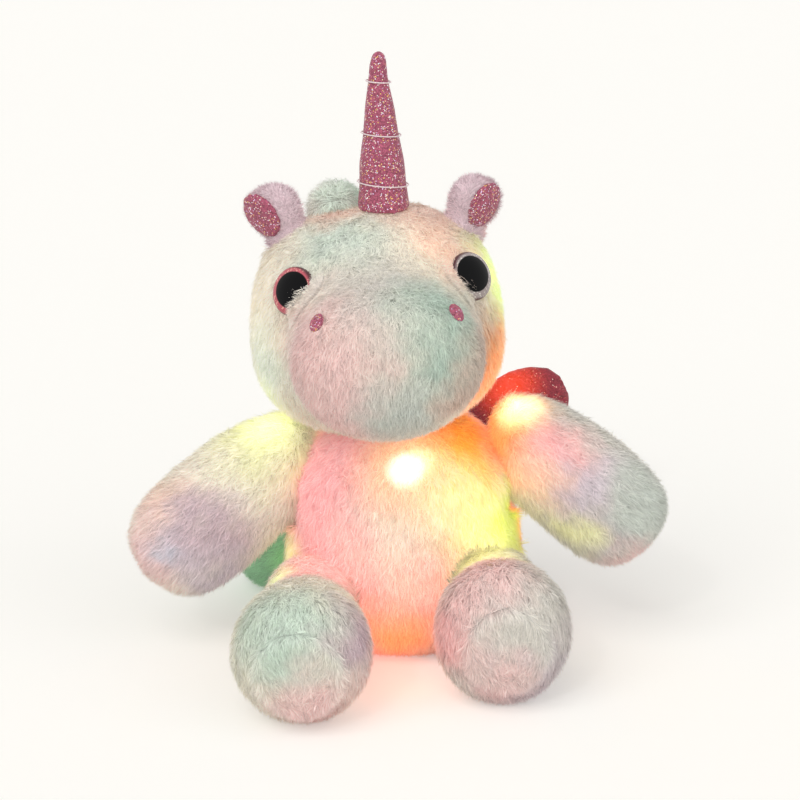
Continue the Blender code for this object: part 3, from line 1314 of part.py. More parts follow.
stand = Matrix.Translation((switch_x, 0, ZIP_CENTRE_HEIGHT)) @ Matrix.Rotation(math.radians(-90), 4, "X")
button = move(turned("switch_button", profile, BLACK_PLASTIC, FINE_STEPS), stand)
button_pivot = joint_empty("switch_button_slide", (switch_x, button_tip, ZIP_CENTRE_HEIGHT))

# The screw stands in a boss moulded on the case's end wall and holds the lid's tongue
screw_z = ZIP_CENTRE_HEIGHT
boss_x = CASE_LOW.x - SCREW_BOSS_RADIUS + CASE_WALL / 2
boss = rod("screw_boss", (boss_x, CASE_LOW.y + GAP, screw_z), (boss_x, rim_y - GAP, screw_z),
           SCREW_BOSS_RADIUS)
join(case, boss)
tongue = rod("lid_tongue", (boss_x, rim_y, screw_z), (boss_x, CASE_HIGH.y, screw_z), SCREW_BOSS_RADIUS)
tongue_bar = block("lid_tongue_bar", (boss_x, rim_y, screw_z - SCREW_BOSS_RADIUS / 2),
                   (lid_low.x + LID_SEAT / 2, CASE_HIGH.y, screw_z + SCREW_BOSS_RADIUS / 2))
join(lid, tongue, tongue_bar)
notch_half = SCREW_BOSS_RADIUS + GAP
cut(case, block("tongue_notch", (boss_x - notch_half, rim_y - GAP, screw_z - notch_half),
                (lid_low.x + LID_SEAT, CASE_HIGH.y + OVERRUN, screw_z + notch_half)))
screw_foot = CASE_LOW.y + CASE_WALL + GAP
pilot = rod("screw_pilot", (boss_x, screw_foot - GAP, screw_z), (boss_x, CASE_HIGH.y + OVERRUN, screw_z),
            SCREW_RADIUS + GAP, steps=SMALL_STEPS)
cut(case, pilot)
cut(lid, pilot)
head_low = CASE_HIGH.y + GAP
profile = [(0, head_low + SCREW_HEAD_HEIGHT),
           (SCREW_HEAD_RADIUS * SCREW_CROWN_SHARE, head_low + SCREW_HEAD_HEIGHT),
           (SCREW_HEAD_RADIUS, head_low), (SCREW_RADIUS, head_low),
           (SCREW_RADIUS, screw_foot + SCREW_RADIUS),
           (0, screw_foot)]
stand = Matrix.Translation((boss_x, 0, screw_z)) @ Matrix.Rotation(math.radians(-90), 4, "X")
screw = move(turned("lid_screw", profile, STEEL, SMALL_STEPS), stand)

pouch_low = Vector((boss_x - SCREW_BOSS_RADIUS - GAP - POUCH_WALL, CASE_LOW.y - GAP - POUCH_WALL,
                    CASE_LOW.z - GAP - POUCH_WALL))
pouch_back = CASE_HIGH.y + BUTTON_STAND + GAP + POUCH_WALL
pouch_high = Vector((CASE_HIGH.x + GAP + POUCH_WALL, pouch_back, CASE_HIGH.z + GAP + POUCH_WALL))
mouth_back = BODY_HALF_BACK - POUCH_MOUTH_INSET
mouth_half = POUCH_MOUTH_HEIGHT / 2
wall = Vector((POUCH_WALL, POUCH_WALL, POUCH_WALL))
pouch = block("battery_pouch", pouch_low, pouch_high, WHITE_CLOTH, None)
mouth_neck = block("pouch_neck", (-POUCH_MOUTH_HALF_WIDTH, pouch_low.y + POUCH_WALL,
                                  ZIP_CENTRE_HEIGHT - mouth_half),
                   (POUCH_MOUTH_HALF_WIDTH, mouth_back, ZIP_CENTRE_HEIGHT + mouth_half))
join(pouch, mouth_neck)
pouch_room = block("pouch_room", pouch_low + wall, pouch_high - wall)
neck_room = block("pouch_neck_room", (POUCH_WALL - POUCH_MOUTH_HALF_WIDTH, pouch_low.y + 2 * POUCH_WALL,
                                      ZIP_CENTRE_HEIGHT - mouth_half + POUCH_WALL),
                  (POUCH_MOUTH_HALF_WIDTH - POUCH_WALL, mouth_back + OVERRUN,
                   ZIP_CENTRE_HEIGHT + mouth_half - POUCH_WALL))
join(pouch_room, neck_room)
settle(pouch_room)
cut(pouch, pouch_room)

gap3 = Vector((GAP, GAP, GAP))
filling_room = block("filling_room", pouch_low - gap3, pouch_high + gap3)
filling_mouth = block("filling_mouth", (-POUCH_MOUTH_HALF_WIDTH - GAP, pouch_low.y - GAP / 2,
                                        ZIP_CENTRE_HEIGHT - mouth_half - GAP),
                      (POUCH_MOUTH_HALF_WIDTH + GAP, BODY_HALF_BACK + OVERRUN,
                       ZIP_CENTRE_HEIGHT + mouth_half + GAP))
join(filling_room, filling_mouth)
settle(filling_room)
cut(body_filling, filling_room)

# Lamps near the skin, each on a lead that runs from the circuit board through the filling

exit_z = inner_high_z - 1.5 * PLUG_HEIGHT
plug_half = 3 * LEAD_PITCH + 2 * LEAD_RADIUS
plug_low = Vector((-plug_half, pouch_low.y - PLUG_STAND, exit_z - PLUG_HEIGHT / 2))
plug_high = Vector((plug_half, CASE_LOW.y + CASE_WALL - GAP, exit_z + PLUG_HEIGHT / 2))
harness = block("lamp_leads", plug_low, plug_high, LEAD_PLASTIC, None)
plug_way = block("plug_way", plug_low - gap3, plug_high + gap3 + gap3)
cut(case, plug_way)
cut(pouch, plug_way)
cut(body_filling, plug_way)
finish_cuts(case, pouch, body_filling, body_skin, head_skin, head_filling)


def lamp(name, tip, inward, look=LAMP_EPOXY):
    """A round-nosed lamp: its nose at tip, its body running inwards. Gives the lamp and its seat."""
    dome = LAMP_RADIUS
    profile = []
    for step in range(4):
        angle = math.radians(90) * step / 3
        profile.append((LAMP_RADIUS * math.sin(angle), -dome + dome * math.cos(angle)))
    rim = LAMP_RADIUS + LAMP_RIM
    low = -LAMP_LENGTH
    profile += [(LAMP_RADIUS, low + 3 * LAMP_RIM), (rim, low + 3 * LAMP_RIM), (rim, low), (0, low)]
    frame = facing(tip, -inward, (0, 0, 1))
    made = move(turned(name, profile, look, SMALL_STEPS), frame)
    seat = rod(name + "_seat", tip - inward * OVERRUN / 2, tip + inward * (LAMP_LENGTH + GAP), rim + GAP,
               steps=SMALL_STEPS)
    return made, seat


lamp_aim = Vector((0, 0, LAMP_AIM_HEIGHT))
lamps = []
for name, turn, rise, slot in BODY_LAMPS:
    outward = azimuth(turn, rise)
    hit, normal = surface_hit(body_inside, lamp_aim, outward)
    inward = -outward
    tip = hit + inward * LAMP_DEPTH
    made, seat = lamp(name, tip, inward)
    lamps.append(made)
    back = tip + inward * (LAMP_LENGTH + 3 * GAP)
    door = Vector((slot * LEAD_PITCH, plug_low.y + PLUG_STAND / 2, exit_z))
    places = [door, door + Vector((0, -LEAD_RUN, 0)), back + inward * LEAD_RUN, back]
    path = smooth_path(places, LEAD_STEPS // 3)
    join(harness, wire(name + "_lead", path, LEAD_RADIUS, None, CUTTERS))
    bore = wire(name + "_lead_bore", path[:-1] + [back - inward * 4 * GAP], LEAD_RADIUS + 3 * GAP, None,
                CUTTERS)
    cut(body_filling, seat, bore)

head_aim = HEAD_POSE @ Vector((0, 0, 0))
outward = HEAD_POSE.to_3x3() @ azimuth(HEAD_LAMP_AZIMUTH, HEAD_LAMP_RISE)
hit, normal = surface_hit(head_inside, head_aim, outward)
tip = hit - outward * LAMP_DEPTH
head_lamp, seat = lamp("lamp_head", tip, -outward)
back = tip - outward * (LAMP_LENGTH + 3 * GAP)
neck_point = Vector((0, 0, BODY_HEIGHT + SWING_GAP / 2 + GAP / 2))
places = [neck_point, neck_point + Vector((0, 0, 2 * LEAD_RUN)), back - outward * LEAD_RUN, back]
path = smooth_path(places, LEAD_STEPS // 2)
head_lead = wire("lamp_head_lead", path, LEAD_RADIUS, LEAD_PLASTIC)
head_bore = wire("lamp_head_lead_bore", path[:-1] + [back + outward * 4 * GAP], LEAD_RADIUS + 3 * GAP, None,
                 CUTTERS)
cut(head_filling, seat, head_bore)
door = Vector((0, plug_low.y + PLUG_STAND / 2, exit_z))
neck_end = neck_point - Vector((0, 0, GAP))
places = [door, door + Vector((0, -LEAD_RUN, 0)), neck_end - Vector((0, 0, 2 * LEAD_RUN)), neck_end]
path = smooth_path(places, LEAD_STEPS // 3)
join(harness, wire("neck_lead", path, LEAD_RADIUS, None, CUTTERS))
cut(body_filling, wire("neck_lead_bore", path, LEAD_RADIUS + 3 * GAP, None, CUTTERS))
settle(harness)

# Parenting: every moving piece hangs on the empty that marks its joint

for pivot, *pieces in arm_groups + leg_groups + wing_groups:
    carry(pivot, *pieces)
carry(tail_pivot, tail)
carry(slider_pivot, slider, pull_pivot)
carry(pull_pivot, pull)
carry(button_pivot, button)
carry(neck_pivot, head_skin, head_filling, muzzle, *nostrils, *eye_pieces, horn, thread, mane, head_lamp,
      head_lead)
for pivot, ear, lining in ear_groups:
    carry(neck_pivot, pivot)
    carry(pivot, ear, lining)
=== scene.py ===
import bpy
import math
import numpy as np
from mathutils import Matrix, Vector
from mathutils.bvhtree import BVHTree
from mathutils.kdtree import KDTree


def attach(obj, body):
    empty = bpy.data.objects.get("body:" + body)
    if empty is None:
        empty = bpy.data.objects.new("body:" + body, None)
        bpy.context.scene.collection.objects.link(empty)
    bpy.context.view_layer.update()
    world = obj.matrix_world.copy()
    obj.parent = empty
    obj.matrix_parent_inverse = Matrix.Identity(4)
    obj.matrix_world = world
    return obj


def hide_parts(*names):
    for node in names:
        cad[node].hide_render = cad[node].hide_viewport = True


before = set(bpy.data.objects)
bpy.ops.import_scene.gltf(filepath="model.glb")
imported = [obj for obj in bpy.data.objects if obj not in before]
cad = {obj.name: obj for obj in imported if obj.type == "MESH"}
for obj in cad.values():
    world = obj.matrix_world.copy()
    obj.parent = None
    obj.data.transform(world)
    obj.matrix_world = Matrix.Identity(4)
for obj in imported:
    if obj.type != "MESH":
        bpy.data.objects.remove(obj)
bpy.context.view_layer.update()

# STAGE
# The toy sits on a plain near-white floor. A broad soft lamp stands high on the viewer's left, a weaker one on the
# right, and the room's own light is even. Only a small clear lamp is mirrored in the eyes. A faint warm light between
# the legs stands for what shines through the belly onto the floor.

CAMERA_PLACE = (0.0, -1.2557, 0.4605)
CAMERA_TILT = 75.0
CAMERA_LENS = 117.0
CAMERA_SHIFT = -0.00375
FLOOR_SIZE = 30.0
FLOOR_WHITE = "FFFEFB"
FLOOR_GREY = "E6E4DF"
ROOM_LIGHT = 0.46
FLOOR_GLOW = 0.30


def dye(hex_colour):
    """An sRGB hex colour as the linear colour that a shader's socket takes."""
    shares = [int(hex_colour[place:place + 2], 16) / 255 for place in (0, 2, 4)]
    return [share / 12.92 if share <= 0.04045 else ((share + 0.055) / 1.055) ** 2.4 for share in shares] + [1.0]


def add_node(finish, kind, feeds=None, **settings):
    """Adds one shader node with its settings, and feeds its sockets with numbers or with other nodes' outputs."""
    node = finish.node_tree.nodes.new(kind)
    for name, value in settings.items():
        setattr(node, name, value)
    for socket, value in (feeds or {}).items():
        if isinstance(value, bpy.types.NodeSocket):
            finish.node_tree.links.new(value, node.inputs[socket])
        else:
            node.inputs[socket].default_value = value
    return node


camera_data = bpy.data.cameras.new("camera")
camera_data.lens = CAMERA_LENS
camera_data.shift_x = CAMERA_SHIFT
camera_data.clip_end = 100.0
camera = bpy.data.objects.new("camera", camera_data)
camera.location = CAMERA_PLACE
camera.rotation_euler = (math.radians(CAMERA_TILT), 0.0, 0.0)
bpy.context.scene.collection.objects.link(camera)
bpy.context.scene.camera = camera
bpy.context.scene.view_settings.view_transform = "Standard"

for lamp_name, lamp_place, lamp_spread, lamp_strength, mirrored in (
    ("high_soft_lamp", (-0.8, -1.5, 1.5), 50.0, 1.35, False),
    ("side_soft_lamp", (1.3, -1.4, 0.8), 70.0, 0.75, False),
    ("small_clear_lamp", (-0.5, -1.3, 1.0), 4.0, 0.20, True),
):
    lamp_data = bpy.data.lights.new(lamp_name, "SUN")
    lamp_data.angle = math.radians(lamp_spread)
    lamp_data.energy = lamp_strength
    lamp_object = bpy.data.objects.new(lamp_name, lamp_data)
    lamp_object.rotation_euler = Vector(lamp_place).to_track_quat("Z", "Y").to_euler()
    lamp_object.visible_glossy = mirrored
    bpy.context.scene.collection.objects.link(lamp_object)

warm_data = bpy.data.lights.new("warm_light_below_the_belly", "POINT")
warm_data.color = dye("FF7A30")[:3]
warm_data.energy = 0.0095
warm_data.shadow_soft_size = 0.012
warm_lamp = bpy.data.objects.new("warm_light_below_the_belly", warm_data)
warm_lamp.location = (0.002, -0.078, 0.024)
bpy.context.scene.collection.objects.link(warm_lamp)

room = bpy.data.worlds.new("room")
room.use_nodes = True
bpy.context.scene.world = room
room_rays = add_node(room, "ShaderNodeLightPath")
seen_rays = add_node(room, "ShaderNodeMath",
                     {0: room_rays.outputs["Is Camera Ray"], 1: room_rays.outputs["Is Glossy Ray"]}, operation="ADD")
seen_rays = add_node(room, "ShaderNodeMath", {0: seen_rays.outputs[0], 1: room_rays.outputs["Is Transmission Ray"]},
                     operation="ADD", use_clamp=True)
room_seen = add_node(room, "ShaderNodeBackground", {"Color": dye(FLOOR_WHITE), "Strength": 1.0})
room_lit = add_node(room, "ShaderNodeBackground", {"Color": dye("FFFFFF"), "Strength": ROOM_LIGHT})
room_mix = add_node(room, "ShaderNodeMixShader",
                    {0: seen_rays.outputs[0], 1: room_lit.outputs[0], 2: room_seen.outputs[0]})
room.node_tree.links.new(room_mix.outputs[0], room.node_tree.nodes["World Output"].inputs["Surface"])

bpy.ops.object.select_all(action="DESELECT")
bpy.ops.mesh.primitive_plane_add(size=FLOOR_SIZE, location=(0, 0, -0.0004))
floor = bpy.context.object
floor.name = "floor"
floor_paper = bpy.data.materials.new("matt_white_paper")
floor_paper.use_nodes = True
floor_paper.node_tree.nodes.remove(floor_paper.node_tree.nodes["Principled BSDF"])
floor_rays = add_node(floor_paper, "ShaderNodeLightPath")
floor_seen = add_node(floor_paper, "ShaderNodeMath",
                      {0: floor_rays.outputs["Is Camera Ray"], 1: floor_rays.outputs["Is Glossy Ray"]}, operation="ADD")
floor_seen = add_node(floor_paper, "ShaderNodeMath",
                      {0: floor_seen.outputs[0], 1: floor_rays.outputs["Is Transmission Ray"]}, operation="ADD",
                      use_clamp=True)
floor_glow = add_node(floor_paper, "ShaderNodeMath", {0: floor_seen.outputs[0], 1: FLOOR_GLOW}, operation="MULTIPLY")
floor_light = add_node(floor_paper, "ShaderNodeEmission",
                       {"Color": dye(FLOOR_WHITE), "Strength": floor_glow.outputs[0]})
floor_matt = add_node(floor_paper, "ShaderNodeBsdfDiffuse", {"Color": dye(FLOOR_GREY)})
floor_sum = add_node(floor_paper, "ShaderNodeAddShader", {0: floor_light.outputs[0], 1: floor_matt.outputs[0]})
floor_paper.node_tree.links.new(floor_sum.outputs[0], floor_paper.node_tree.nodes["Material Output"].inputs["Surface"])
floor.data.materials.append(floor_paper)

# LAMP MODULE
# A moulded battery case with three cells, contacts, a green circuit board with its push switch, and six small lamps on
# thin leads, all in a lined pouch behind the back zip. These hard pieces keep their own solids and get their finish.


def finish_of(name, colour, roughness, specular=0.5, metallic=0.0, sheen=0.0, coat=0.0):
    """A new material with its plain numbers set on the shader's own sockets."""
    finish = bpy.data.materials.new(name)
    finish.use_nodes = True
    shader = finish.node_tree.nodes["Principled BSDF"]
    shader.inputs["Base Color"].default_value = dye(colour)
    shader.inputs["Roughness"].default_value = roughness
    shader.inputs["Specular IOR Level"].default_value = specular
    shader.inputs["Metallic"].default_value = metallic
    shader.inputs["Sheen Weight"].default_value = sheen
    shader.inputs["Coat Weight"].default_value = coat
    return finish


def dress(node, finish):
    """Gives a solid from the model its finish."""
    cad[node].data.materials.clear()
    cad[node].data.materials.append(finish)


def grained(finish, scale, low, high, bump, stretch=(1.0, 1.0, 1.0)):
    """Lets roughness wander between two values and raises a fine grain, as moulded and plated surfaces have."""
    shader = finish.node_tree.nodes["Principled BSDF"]
    place = add_node(finish, "ShaderNodeTexCoord").outputs["Object"]
    drawn = add_node(finish, "ShaderNodeMapping", {"Vector": place, "Scale": stretch}).outputs[0]
    grain = add_node(finish, "ShaderNodeTexNoise", {"Vector": drawn, "Scale": scale, "Detail": 4.0}).outputs["Fac"]
    spread = add_node(finish, "ShaderNodeMapRange", {"Value": grain, "To Min": low, "To Max": high})
    raised = add_node(finish, "ShaderNodeBump", {"Height": grain, "Strength": bump, "Distance": 0.0002})
    finish.node_tree.links.new(spread.outputs[0], shader.inputs["Roughness"])
    finish.node_tree.links.new(raised.outputs[0], shader.inputs["Normal"])
    return finish


white_abs = grained(finish_of("moulded_white_abs", "E9E7E2", 0.4), 900.0, 0.34, 0.5, 0.25)
for node in ("battery_case", "battery_lid", "left_eye_washer", "right_eye_washer"):
    dress(node, white_abs)
plated_steel = grained(finish_of("nickel_plated_spring_steel", "C3C5C6", 0.25, metallic=1.0), 600.0, 0.16, 0.34, 0.1)
for node in ("contact_start", "contact_link_high", "contact_link_low", "contact_end", "lid_screw", "zip_slider"):
    dress(node, plated_steel)
cell_sleeve = grained(finish_of("printed_shrink_sleeve", "3E6B8C", 0.3, coat=0.3), 300.0, 0.22, 0.36, 0.1)
for node in ("cell_1", "cell_2", "cell_3"):
    dress(node, cell_sleeve)
dress("circuit_board", grained(finish_of("solder_masked_laminate", "3F7A4B", 0.35), 1500.0, 0.3, 0.45, 0.3))
black_nylon = grained(finish_of("moulded_black_nylon", "2A2A2C", 0.45), 1100.0, 0.4, 0.55, 0.3)
for node in ("switch_housing", "switch_button"):
    dress(node, black_nylon)
lead_vinyl = grained(finish_of("extruded_vinyl_lead", "C9C4BE", 0.4), 1200.0, 0.35, 0.5, 0.15)
for node in ("lamp_leads", "lamp_head_lead"):
    dress(node, lead_vinyl)
lamp_epoxy = grained(finish_of("cast_clear_epoxy", "F4EFE2", 0.12, coat=0.5), 500.0, 0.08, 0.2, 0.05)
for node, light_colour in (("lamp_chest", "FFE9B0"), ("lamp_front_low", "FF9A5A"), ("lamp_left_shoulder", "FFB070"),
                           ("lamp_right_shoulder", "EFFFA0"), ("lamp_left_flank", "D8FF70"),
                           ("lamp_right_flank", "7CE890"), ("lamp_head", "D8FF90")):
    lit = lamp_epoxy.copy()
    lit.name = "lit_epoxy_of_" + node
    lit.node_tree.nodes["Principled BSDF"].inputs["Emission Color"].default_value = dye(light_colour)
    lit.node_tree.nodes["Principled BSDF"].inputs["Emission Strength"].default_value = 1.0
    dress(node, lit)


def woven(name, colour, pitch, sheen=0.3):
    """Plain-woven cloth: crossed ridges at the thread pitch, with a little change of tone from thread to thread."""
    finish = finish_of(name, colour, 0.85, specular=0.3, sheen=sheen)
    shader = finish.node_tree.nodes["Principled BSDF"]
    place = add_node(finish, "ShaderNodeTexCoord").outputs["Object"]
    turns = 1.0 / pitch
    upright = add_node(finish, "ShaderNodeTexWave", {"Vector": place, "Scale": turns / 6.3}, bands_direction="X")
    across = add_node(finish, "ShaderNodeTexWave", {"Vector": place, "Scale": turns / 6.3}, bands_direction="Z")
    crossed = add_node(finish, "ShaderNodeMath", {0: upright.outputs["Fac"], 1: across.outputs["Fac"]},
                       operation="MULTIPLY")
    tone = add_node(finish, "ShaderNodeMix", {0: crossed.outputs[0], 6: dye(colour), 7: dye("FFFFFF")},
                    data_type="RGBA", blend_type="SOFT_LIGHT")
    raised = add_node(finish, "ShaderNodeBump", {"Height": crossed.outputs[0], "Strength": 0.6, "Distance": 0.0002})
    finish.node_tree.links.new(tone.outputs[2], shader.inputs["Base Color"])
    finish.node_tree.links.new(raised.outputs[0], shader.inputs["Normal"])
    return finish


dress("battery_pouch", woven("plain_woven_lining", "E6E4DF", 0.0006))

# BODY
# The round body is long-pile polyester plush, sewn inside out and stuffed with loose fibre. Lamps inside shine through
# the cloth, so it is pink on one side, peach in the middle and yellow-green on the other.

fibre = grained(finish_of("loose_polyester_fibre", "F2F0EC", 0.95, specular=0.1, sheen=0.4), 350.0, 0.9, 1.0, 1.0)


def only(piece):
    """Deselects everything, then selects this piece and makes it active."""
    bpy.ops.object.select_all(action="DESELECT")
    piece.select_set(True)
    bpy.context.view_layer.objects.active = piece


def copy_of_solid(node, name):
    """A free, merged copy of a solid from the model, to be made into a sewn piece."""
    piece = bpy.data.objects.new(name, cad[node].data.copy())
    piece.data.materials.clear()
    bpy.context.scene.collection.objects.link(piece)
    only(piece)
    bpy.ops.object.mode_set(mode="EDIT")
    bpy.ops.mesh.select_all(action="SELECT")
    bpy.ops.mesh.remove_doubles(threshold=0.00001)
    bpy.ops.object.mode_set(mode="OBJECT")
    return piece


def rounded(piece, voxel, passes):
    """Turns a faceted form into a smooth stuffed one, with a voxel skin that is then relaxed."""
    only(piece)
    skin = piece.modifiers.new("skin", "REMESH")
    skin.mode = "VOXEL"
    skin.voxel_size = voxel
    relaxed = piece.modifiers.new("relaxed", "SMOOTH")
    relaxed.factor = 0.5
    relaxed.iterations = passes
    for modifier in ("skin", "relaxed"):
        bpy.ops.object.modifier_apply(modifier=modifier)
    bpy.ops.object.shade_smooth()
    return piece


def puffed(piece, swell, cap):
    """Lets a stuffed piece settle under the pressure of its filling, with a cap on how far any corner moves."""
    before = corners_of(piece)[0]
    only(piece)
    cloth = piece.modifiers.new("cloth", "CLOTH")
    cloth.settings.use_pressure = True
    cloth.settings.uniform_pressure_force = swell
    cloth.settings.effector_weights.gravity = 0.0
    for step in range(1, 21):
        bpy.context.scene.frame_set(step)
    bpy.ops.object.modifier_apply(modifier="cloth")
    bpy.context.scene.frame_set(1)
    moved = corners_of(piece)[0] - before
    moved *= np.minimum(1, cap / np.maximum(np.linalg.norm(moved, axis=1), 1e-9))[:, None]
    piece.data.vertices.foreach_set("co", (before + moved).ravel())
    finer = piece.modifiers.new("finer", "SUBSURF")
    finer.levels = finer.render_levels = 1
    bpy.ops.object.modifier_apply(modifier="finer")
    return piece


def corners_of(piece):
    """The corners and their normals, as two arrays."""
    places = np.empty(len(piece.data.vertices) * 3)
    normals = np.empty(len(piece.data.vertices) * 3)
    piece.data.vertices.foreach_get("co", places)
    piece.data.vertices.foreach_get("normal", normals)
    return places.reshape(-1, 3), normals.reshape(-1, 3)


def gap_to(places, node):
    """The distance from each place to a solid of the model, less than zero inside it."""
    mesh = cad[node].data
    tree = BVHTree.FromPolygons([corner.co for corner in mesh.vertices],
                                [tuple(face.vertices) for face in mesh.polygons])
    found = np.empty(len(places))
    for index, place in enumerate(places):
        near, normal, _, distance = tree.find_nearest(place)
        found[index] = -distance if (Vector(place) - near).dot(normal) < -0.6 * distance else distance
    return found


PILE_DEPTH = 0.0026


def outer_cloth(piece, filling):
    """Keeps only the outside of a skin: the faces that don't lie against its filling."""
    only(piece)
    centres = np.array([face.center for face in piece.data.polygons])
    outwards = centres - centres.mean(0)
    outwards /= np.linalg.norm(outwards, axis=1)[:, None]
    turned = (np.array([face.normal for face in piece.data.polygons]) * outwards).sum(1)
    inside = (gap_to(centres, filling) < PILE_DEPTH) & (turned < 0.15)
    bpy.ops.object.mode_set(mode="EDIT")
    bpy.ops.mesh.select_mode(type="FACE")
    bpy.ops.object.mode_set(mode="OBJECT")
    piece.data.polygons.foreach_set("select", inside)
    bpy.ops.object.mode_set(mode="EDIT")
    bpy.ops.mesh.delete(type="FACE")
    bpy.ops.object.mode_set(mode="OBJECT")
    finer = piece.modifiers.new("finer", "SUBSURF")
    finer.subdivision_type = "SIMPLE"
    finer.levels = finer.render_levels = 2
    relaxed = piece.modifiers.new("relaxed", "SMOOTH")
    relaxed.factor = 0.5
    relaxed.iterations = 14
    for modifier in ("finer", "relaxed"):
        bpy.ops.object.modifier_apply(modifier=modifier)
    bpy.ops.object.shade_smooth()
    return piece


def draw_in(piece, depth=PILE_DEPTH, against=(), clear=(), clear_reach=0.008, least=0.3, droop=0.0):
    """Sets the cloth inside the drawn form by the depth of its pile, and marks how long the pile may stand: full in the
    open, none inside a neighbour, and shorter next to a hard piece and a little above it, where it droops over."""
    places, normals = corners_of(piece)
    sunk = np.ones(len(places))
    share = np.ones(len(places))
    for node in against:
        share = np.minimum(share, np.clip((gap_to(places, node) + 0.0012) / 0.0012, 0, 1))
    for node in clear:
        near = np.clip(np.minimum(gap_to(places, node), gap_to(places - (0, 0, droop), node)) / clear_reach, 0, 1)
        sunk = np.minimum(sunk, near)
        share = np.minimum(share, least + (1 - least) * near)
    places -= normals * (depth * share * sunk)[:, None]
    piece.data.vertices.foreach_set("co", places.ravel())
    mark = piece.data.attributes.new("pile_share", "FLOAT", "POINT")
    mark.data.foreach_set("value", share)
    piece.data.update()
    return piece


def sewn(piece, finish, body, node):
    """Gives a stuffed piece its cloth and its body, and hides the solid that it stands for."""
    piece.data.materials.append(finish)
    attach(piece, body)
    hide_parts(node)


for node, rider in (("body_filling", "body"), ("head_filling", "head")):
    wad = copy_of_solid(node, node + "_wad")
    draw_in(wad, depth=0.0022)
    sewn(wad, fibre, rider, node)

# A faint painted fill light: every plush glows a little in its own colour, lifting the shade between its fibres, also
# where no lamp is inside.
PAINTED_FILL_GLOW = 0.15
PATCH_EDGE = 1.12
PATCH_HEART = 0.12
# Amber, apricot and lime, and lemon in part, are no dyes: they are a lamp's glow painted into the base colour where
# that glow shines through.
DYES_AND_PAINTED_GLOWS = {"cream": "FBF3E4", "peach": "FCE0D0", "pink": "F9DAD5", "rose": "FDD0CC", "lilac": "E6D9E0",
        "mauve": "DEC9CE", "mint": "D9E6D8", "pale_mint": "E6EEE2", "deep_mint": "CBDCCE", "green": "A9D6AE",
        "blue": "D8DFE8", "lemon_dye_and_painted_glow": "F9F7CE", "painted_lime_glow": "F4F592", "painted_amber_glow": "FFB84E", "painted_apricot_glow": "FFC896",
        "grey": "E6E2D9", "sage": "D6DBD2", "beige": "E0CBBC"}


def scaled(finish, colour, share):
    """A colour or a vector times one number."""
    return add_node(finish, "ShaderNodeVectorMath", {0: colour, "Scale": share}, operation="SCALE").outputs[0]


def distance_to(finish, place, centre):
    """The distance from a place to a centre."""
    return add_node(finish, "ShaderNodeVectorMath", {0: place, 1: centre}, operation="DISTANCE").outputs["Value"]


def dyed_pile(name, ground, patches, lights=(), painted_fill_glow=PAINTED_FILL_GLOW):
    """Tie-dyed long-pile plush. patches are soft spots of another dye (place, reach, dye); a few of them are painted
    lamp glow in the base colour. lights are the places where a lamp shines through (place, reach, colour, strength). A
    faint painted fill light in the plush's own colour glows over all of it. Fibres differ a little at random, and each
    is painted darker towards its root, as painted shade deep in the pile."""
    finish = finish_of(name, DYES_AND_PAINTED_GLOWS[ground], 0.9, specular=0.2, sheen=0.25)
    shader = finish.node_tree.nodes["Principled BSDF"]
    shader.inputs["Sheen Roughness"].default_value = 0.5
    place = add_node(finish, "ShaderNodeTexCoord").outputs["Object"]
    cloud = add_node(finish, "ShaderNodeTexNoise", {"Vector": place, "Scale": 45.0, "Detail": 3.0}).outputs["Color"]
    cloud = add_node(finish, "ShaderNodeVectorMath", {0: cloud, 1: (0.5, 0.5, 0.5)}, operation="SUBTRACT").outputs[0]
    wander = add_node(finish, "ShaderNodeVectorMath", {0: cloud, 1: (0.035, 0.035, 0.035), 2: place},
                      operation="MULTIPLY_ADD").outputs[0]
    colour = dye(DYES_AND_PAINTED_GLOWS[ground])
    for centre, reach, patch in patches:
        away = distance_to(finish, wander, centre)
        share = add_node(finish, "ShaderNodeMapRange",
                         {"Value": away, "From Min": PATCH_EDGE * reach, "From Max": PATCH_HEART * reach},
                         interpolation_type="SMOOTHSTEP").outputs[0]
        colour = add_node(finish, "ShaderNodeMix", {0: share, 6: colour, 7: dye(DYES_AND_PAINTED_GLOWS[patch])},
                          data_type="RGBA").outputs[2]
    tone = add_node(finish, "ShaderNodeAttribute", attribute_name="fibre_tone").outputs["Fac"]
    along = add_node(finish, "ShaderNodeAttribute", attribute_name="fibre_along").outputs["Fac"]
    # Base colour: a random tone for each fibre, and painted shade that darkens each fibre towards its root; the bare
    # cloth under the pile, with neither attribute, is darkest.
    random_tone_and_painted_root_shade = add_node(finish, "ShaderNodeMath", {0: tone, 1: 0.42, 2: 0.575}, operation="MULTIPLY_ADD").outputs[0]
    random_tone_and_painted_root_shade = add_node(finish, "ShaderNodeMath", {0: along, 1: 0.24, 2: random_tone_and_painted_root_shade}, operation="MULTIPLY_ADD").outputs[0]
    colour = scaled(finish, colour, random_tone_and_painted_root_shade)
    finish.node_tree.links.new(colour, shader.inputs["Base Color"])
    glow = scaled(finish, colour, painted_fill_glow)
    for centre, reach, light, strength in lights:
        away = distance_to(finish, place, centre)
        share = add_node(finish, "ShaderNodeMapRange",
                         {"Value": away, "From Min": reach, "From Max": 0.0, "To Max": strength},
                         interpolation_type="SMOOTHSTEP").outputs[0]
        added = scaled(finish, dye(light)[:3], share)
        glow = add_node(finish, "ShaderNodeVectorMath", {0: glow, 1: added}, operation="ADD").outputs[0]
    dim = add_node(finish, "ShaderNodeMath", {0: tone, 1: 0.30, 2: 0.80}, operation="MULTIPLY_ADD").outputs[0]
    dim = add_node(finish, "ShaderNodeMath", {0: along, 1: -0.25, 2: dim}, operation="MULTIPLY_ADD").outputs[0]
    glow = scaled(finish, glow, dim)
    finish.node_tree.links.new(glow, shader.inputs["Emission Color"])
    shader.inputs["Emission Strength"].default_value = 1.0
    finish.cycles.emission_sampling = "NONE"
    return finish


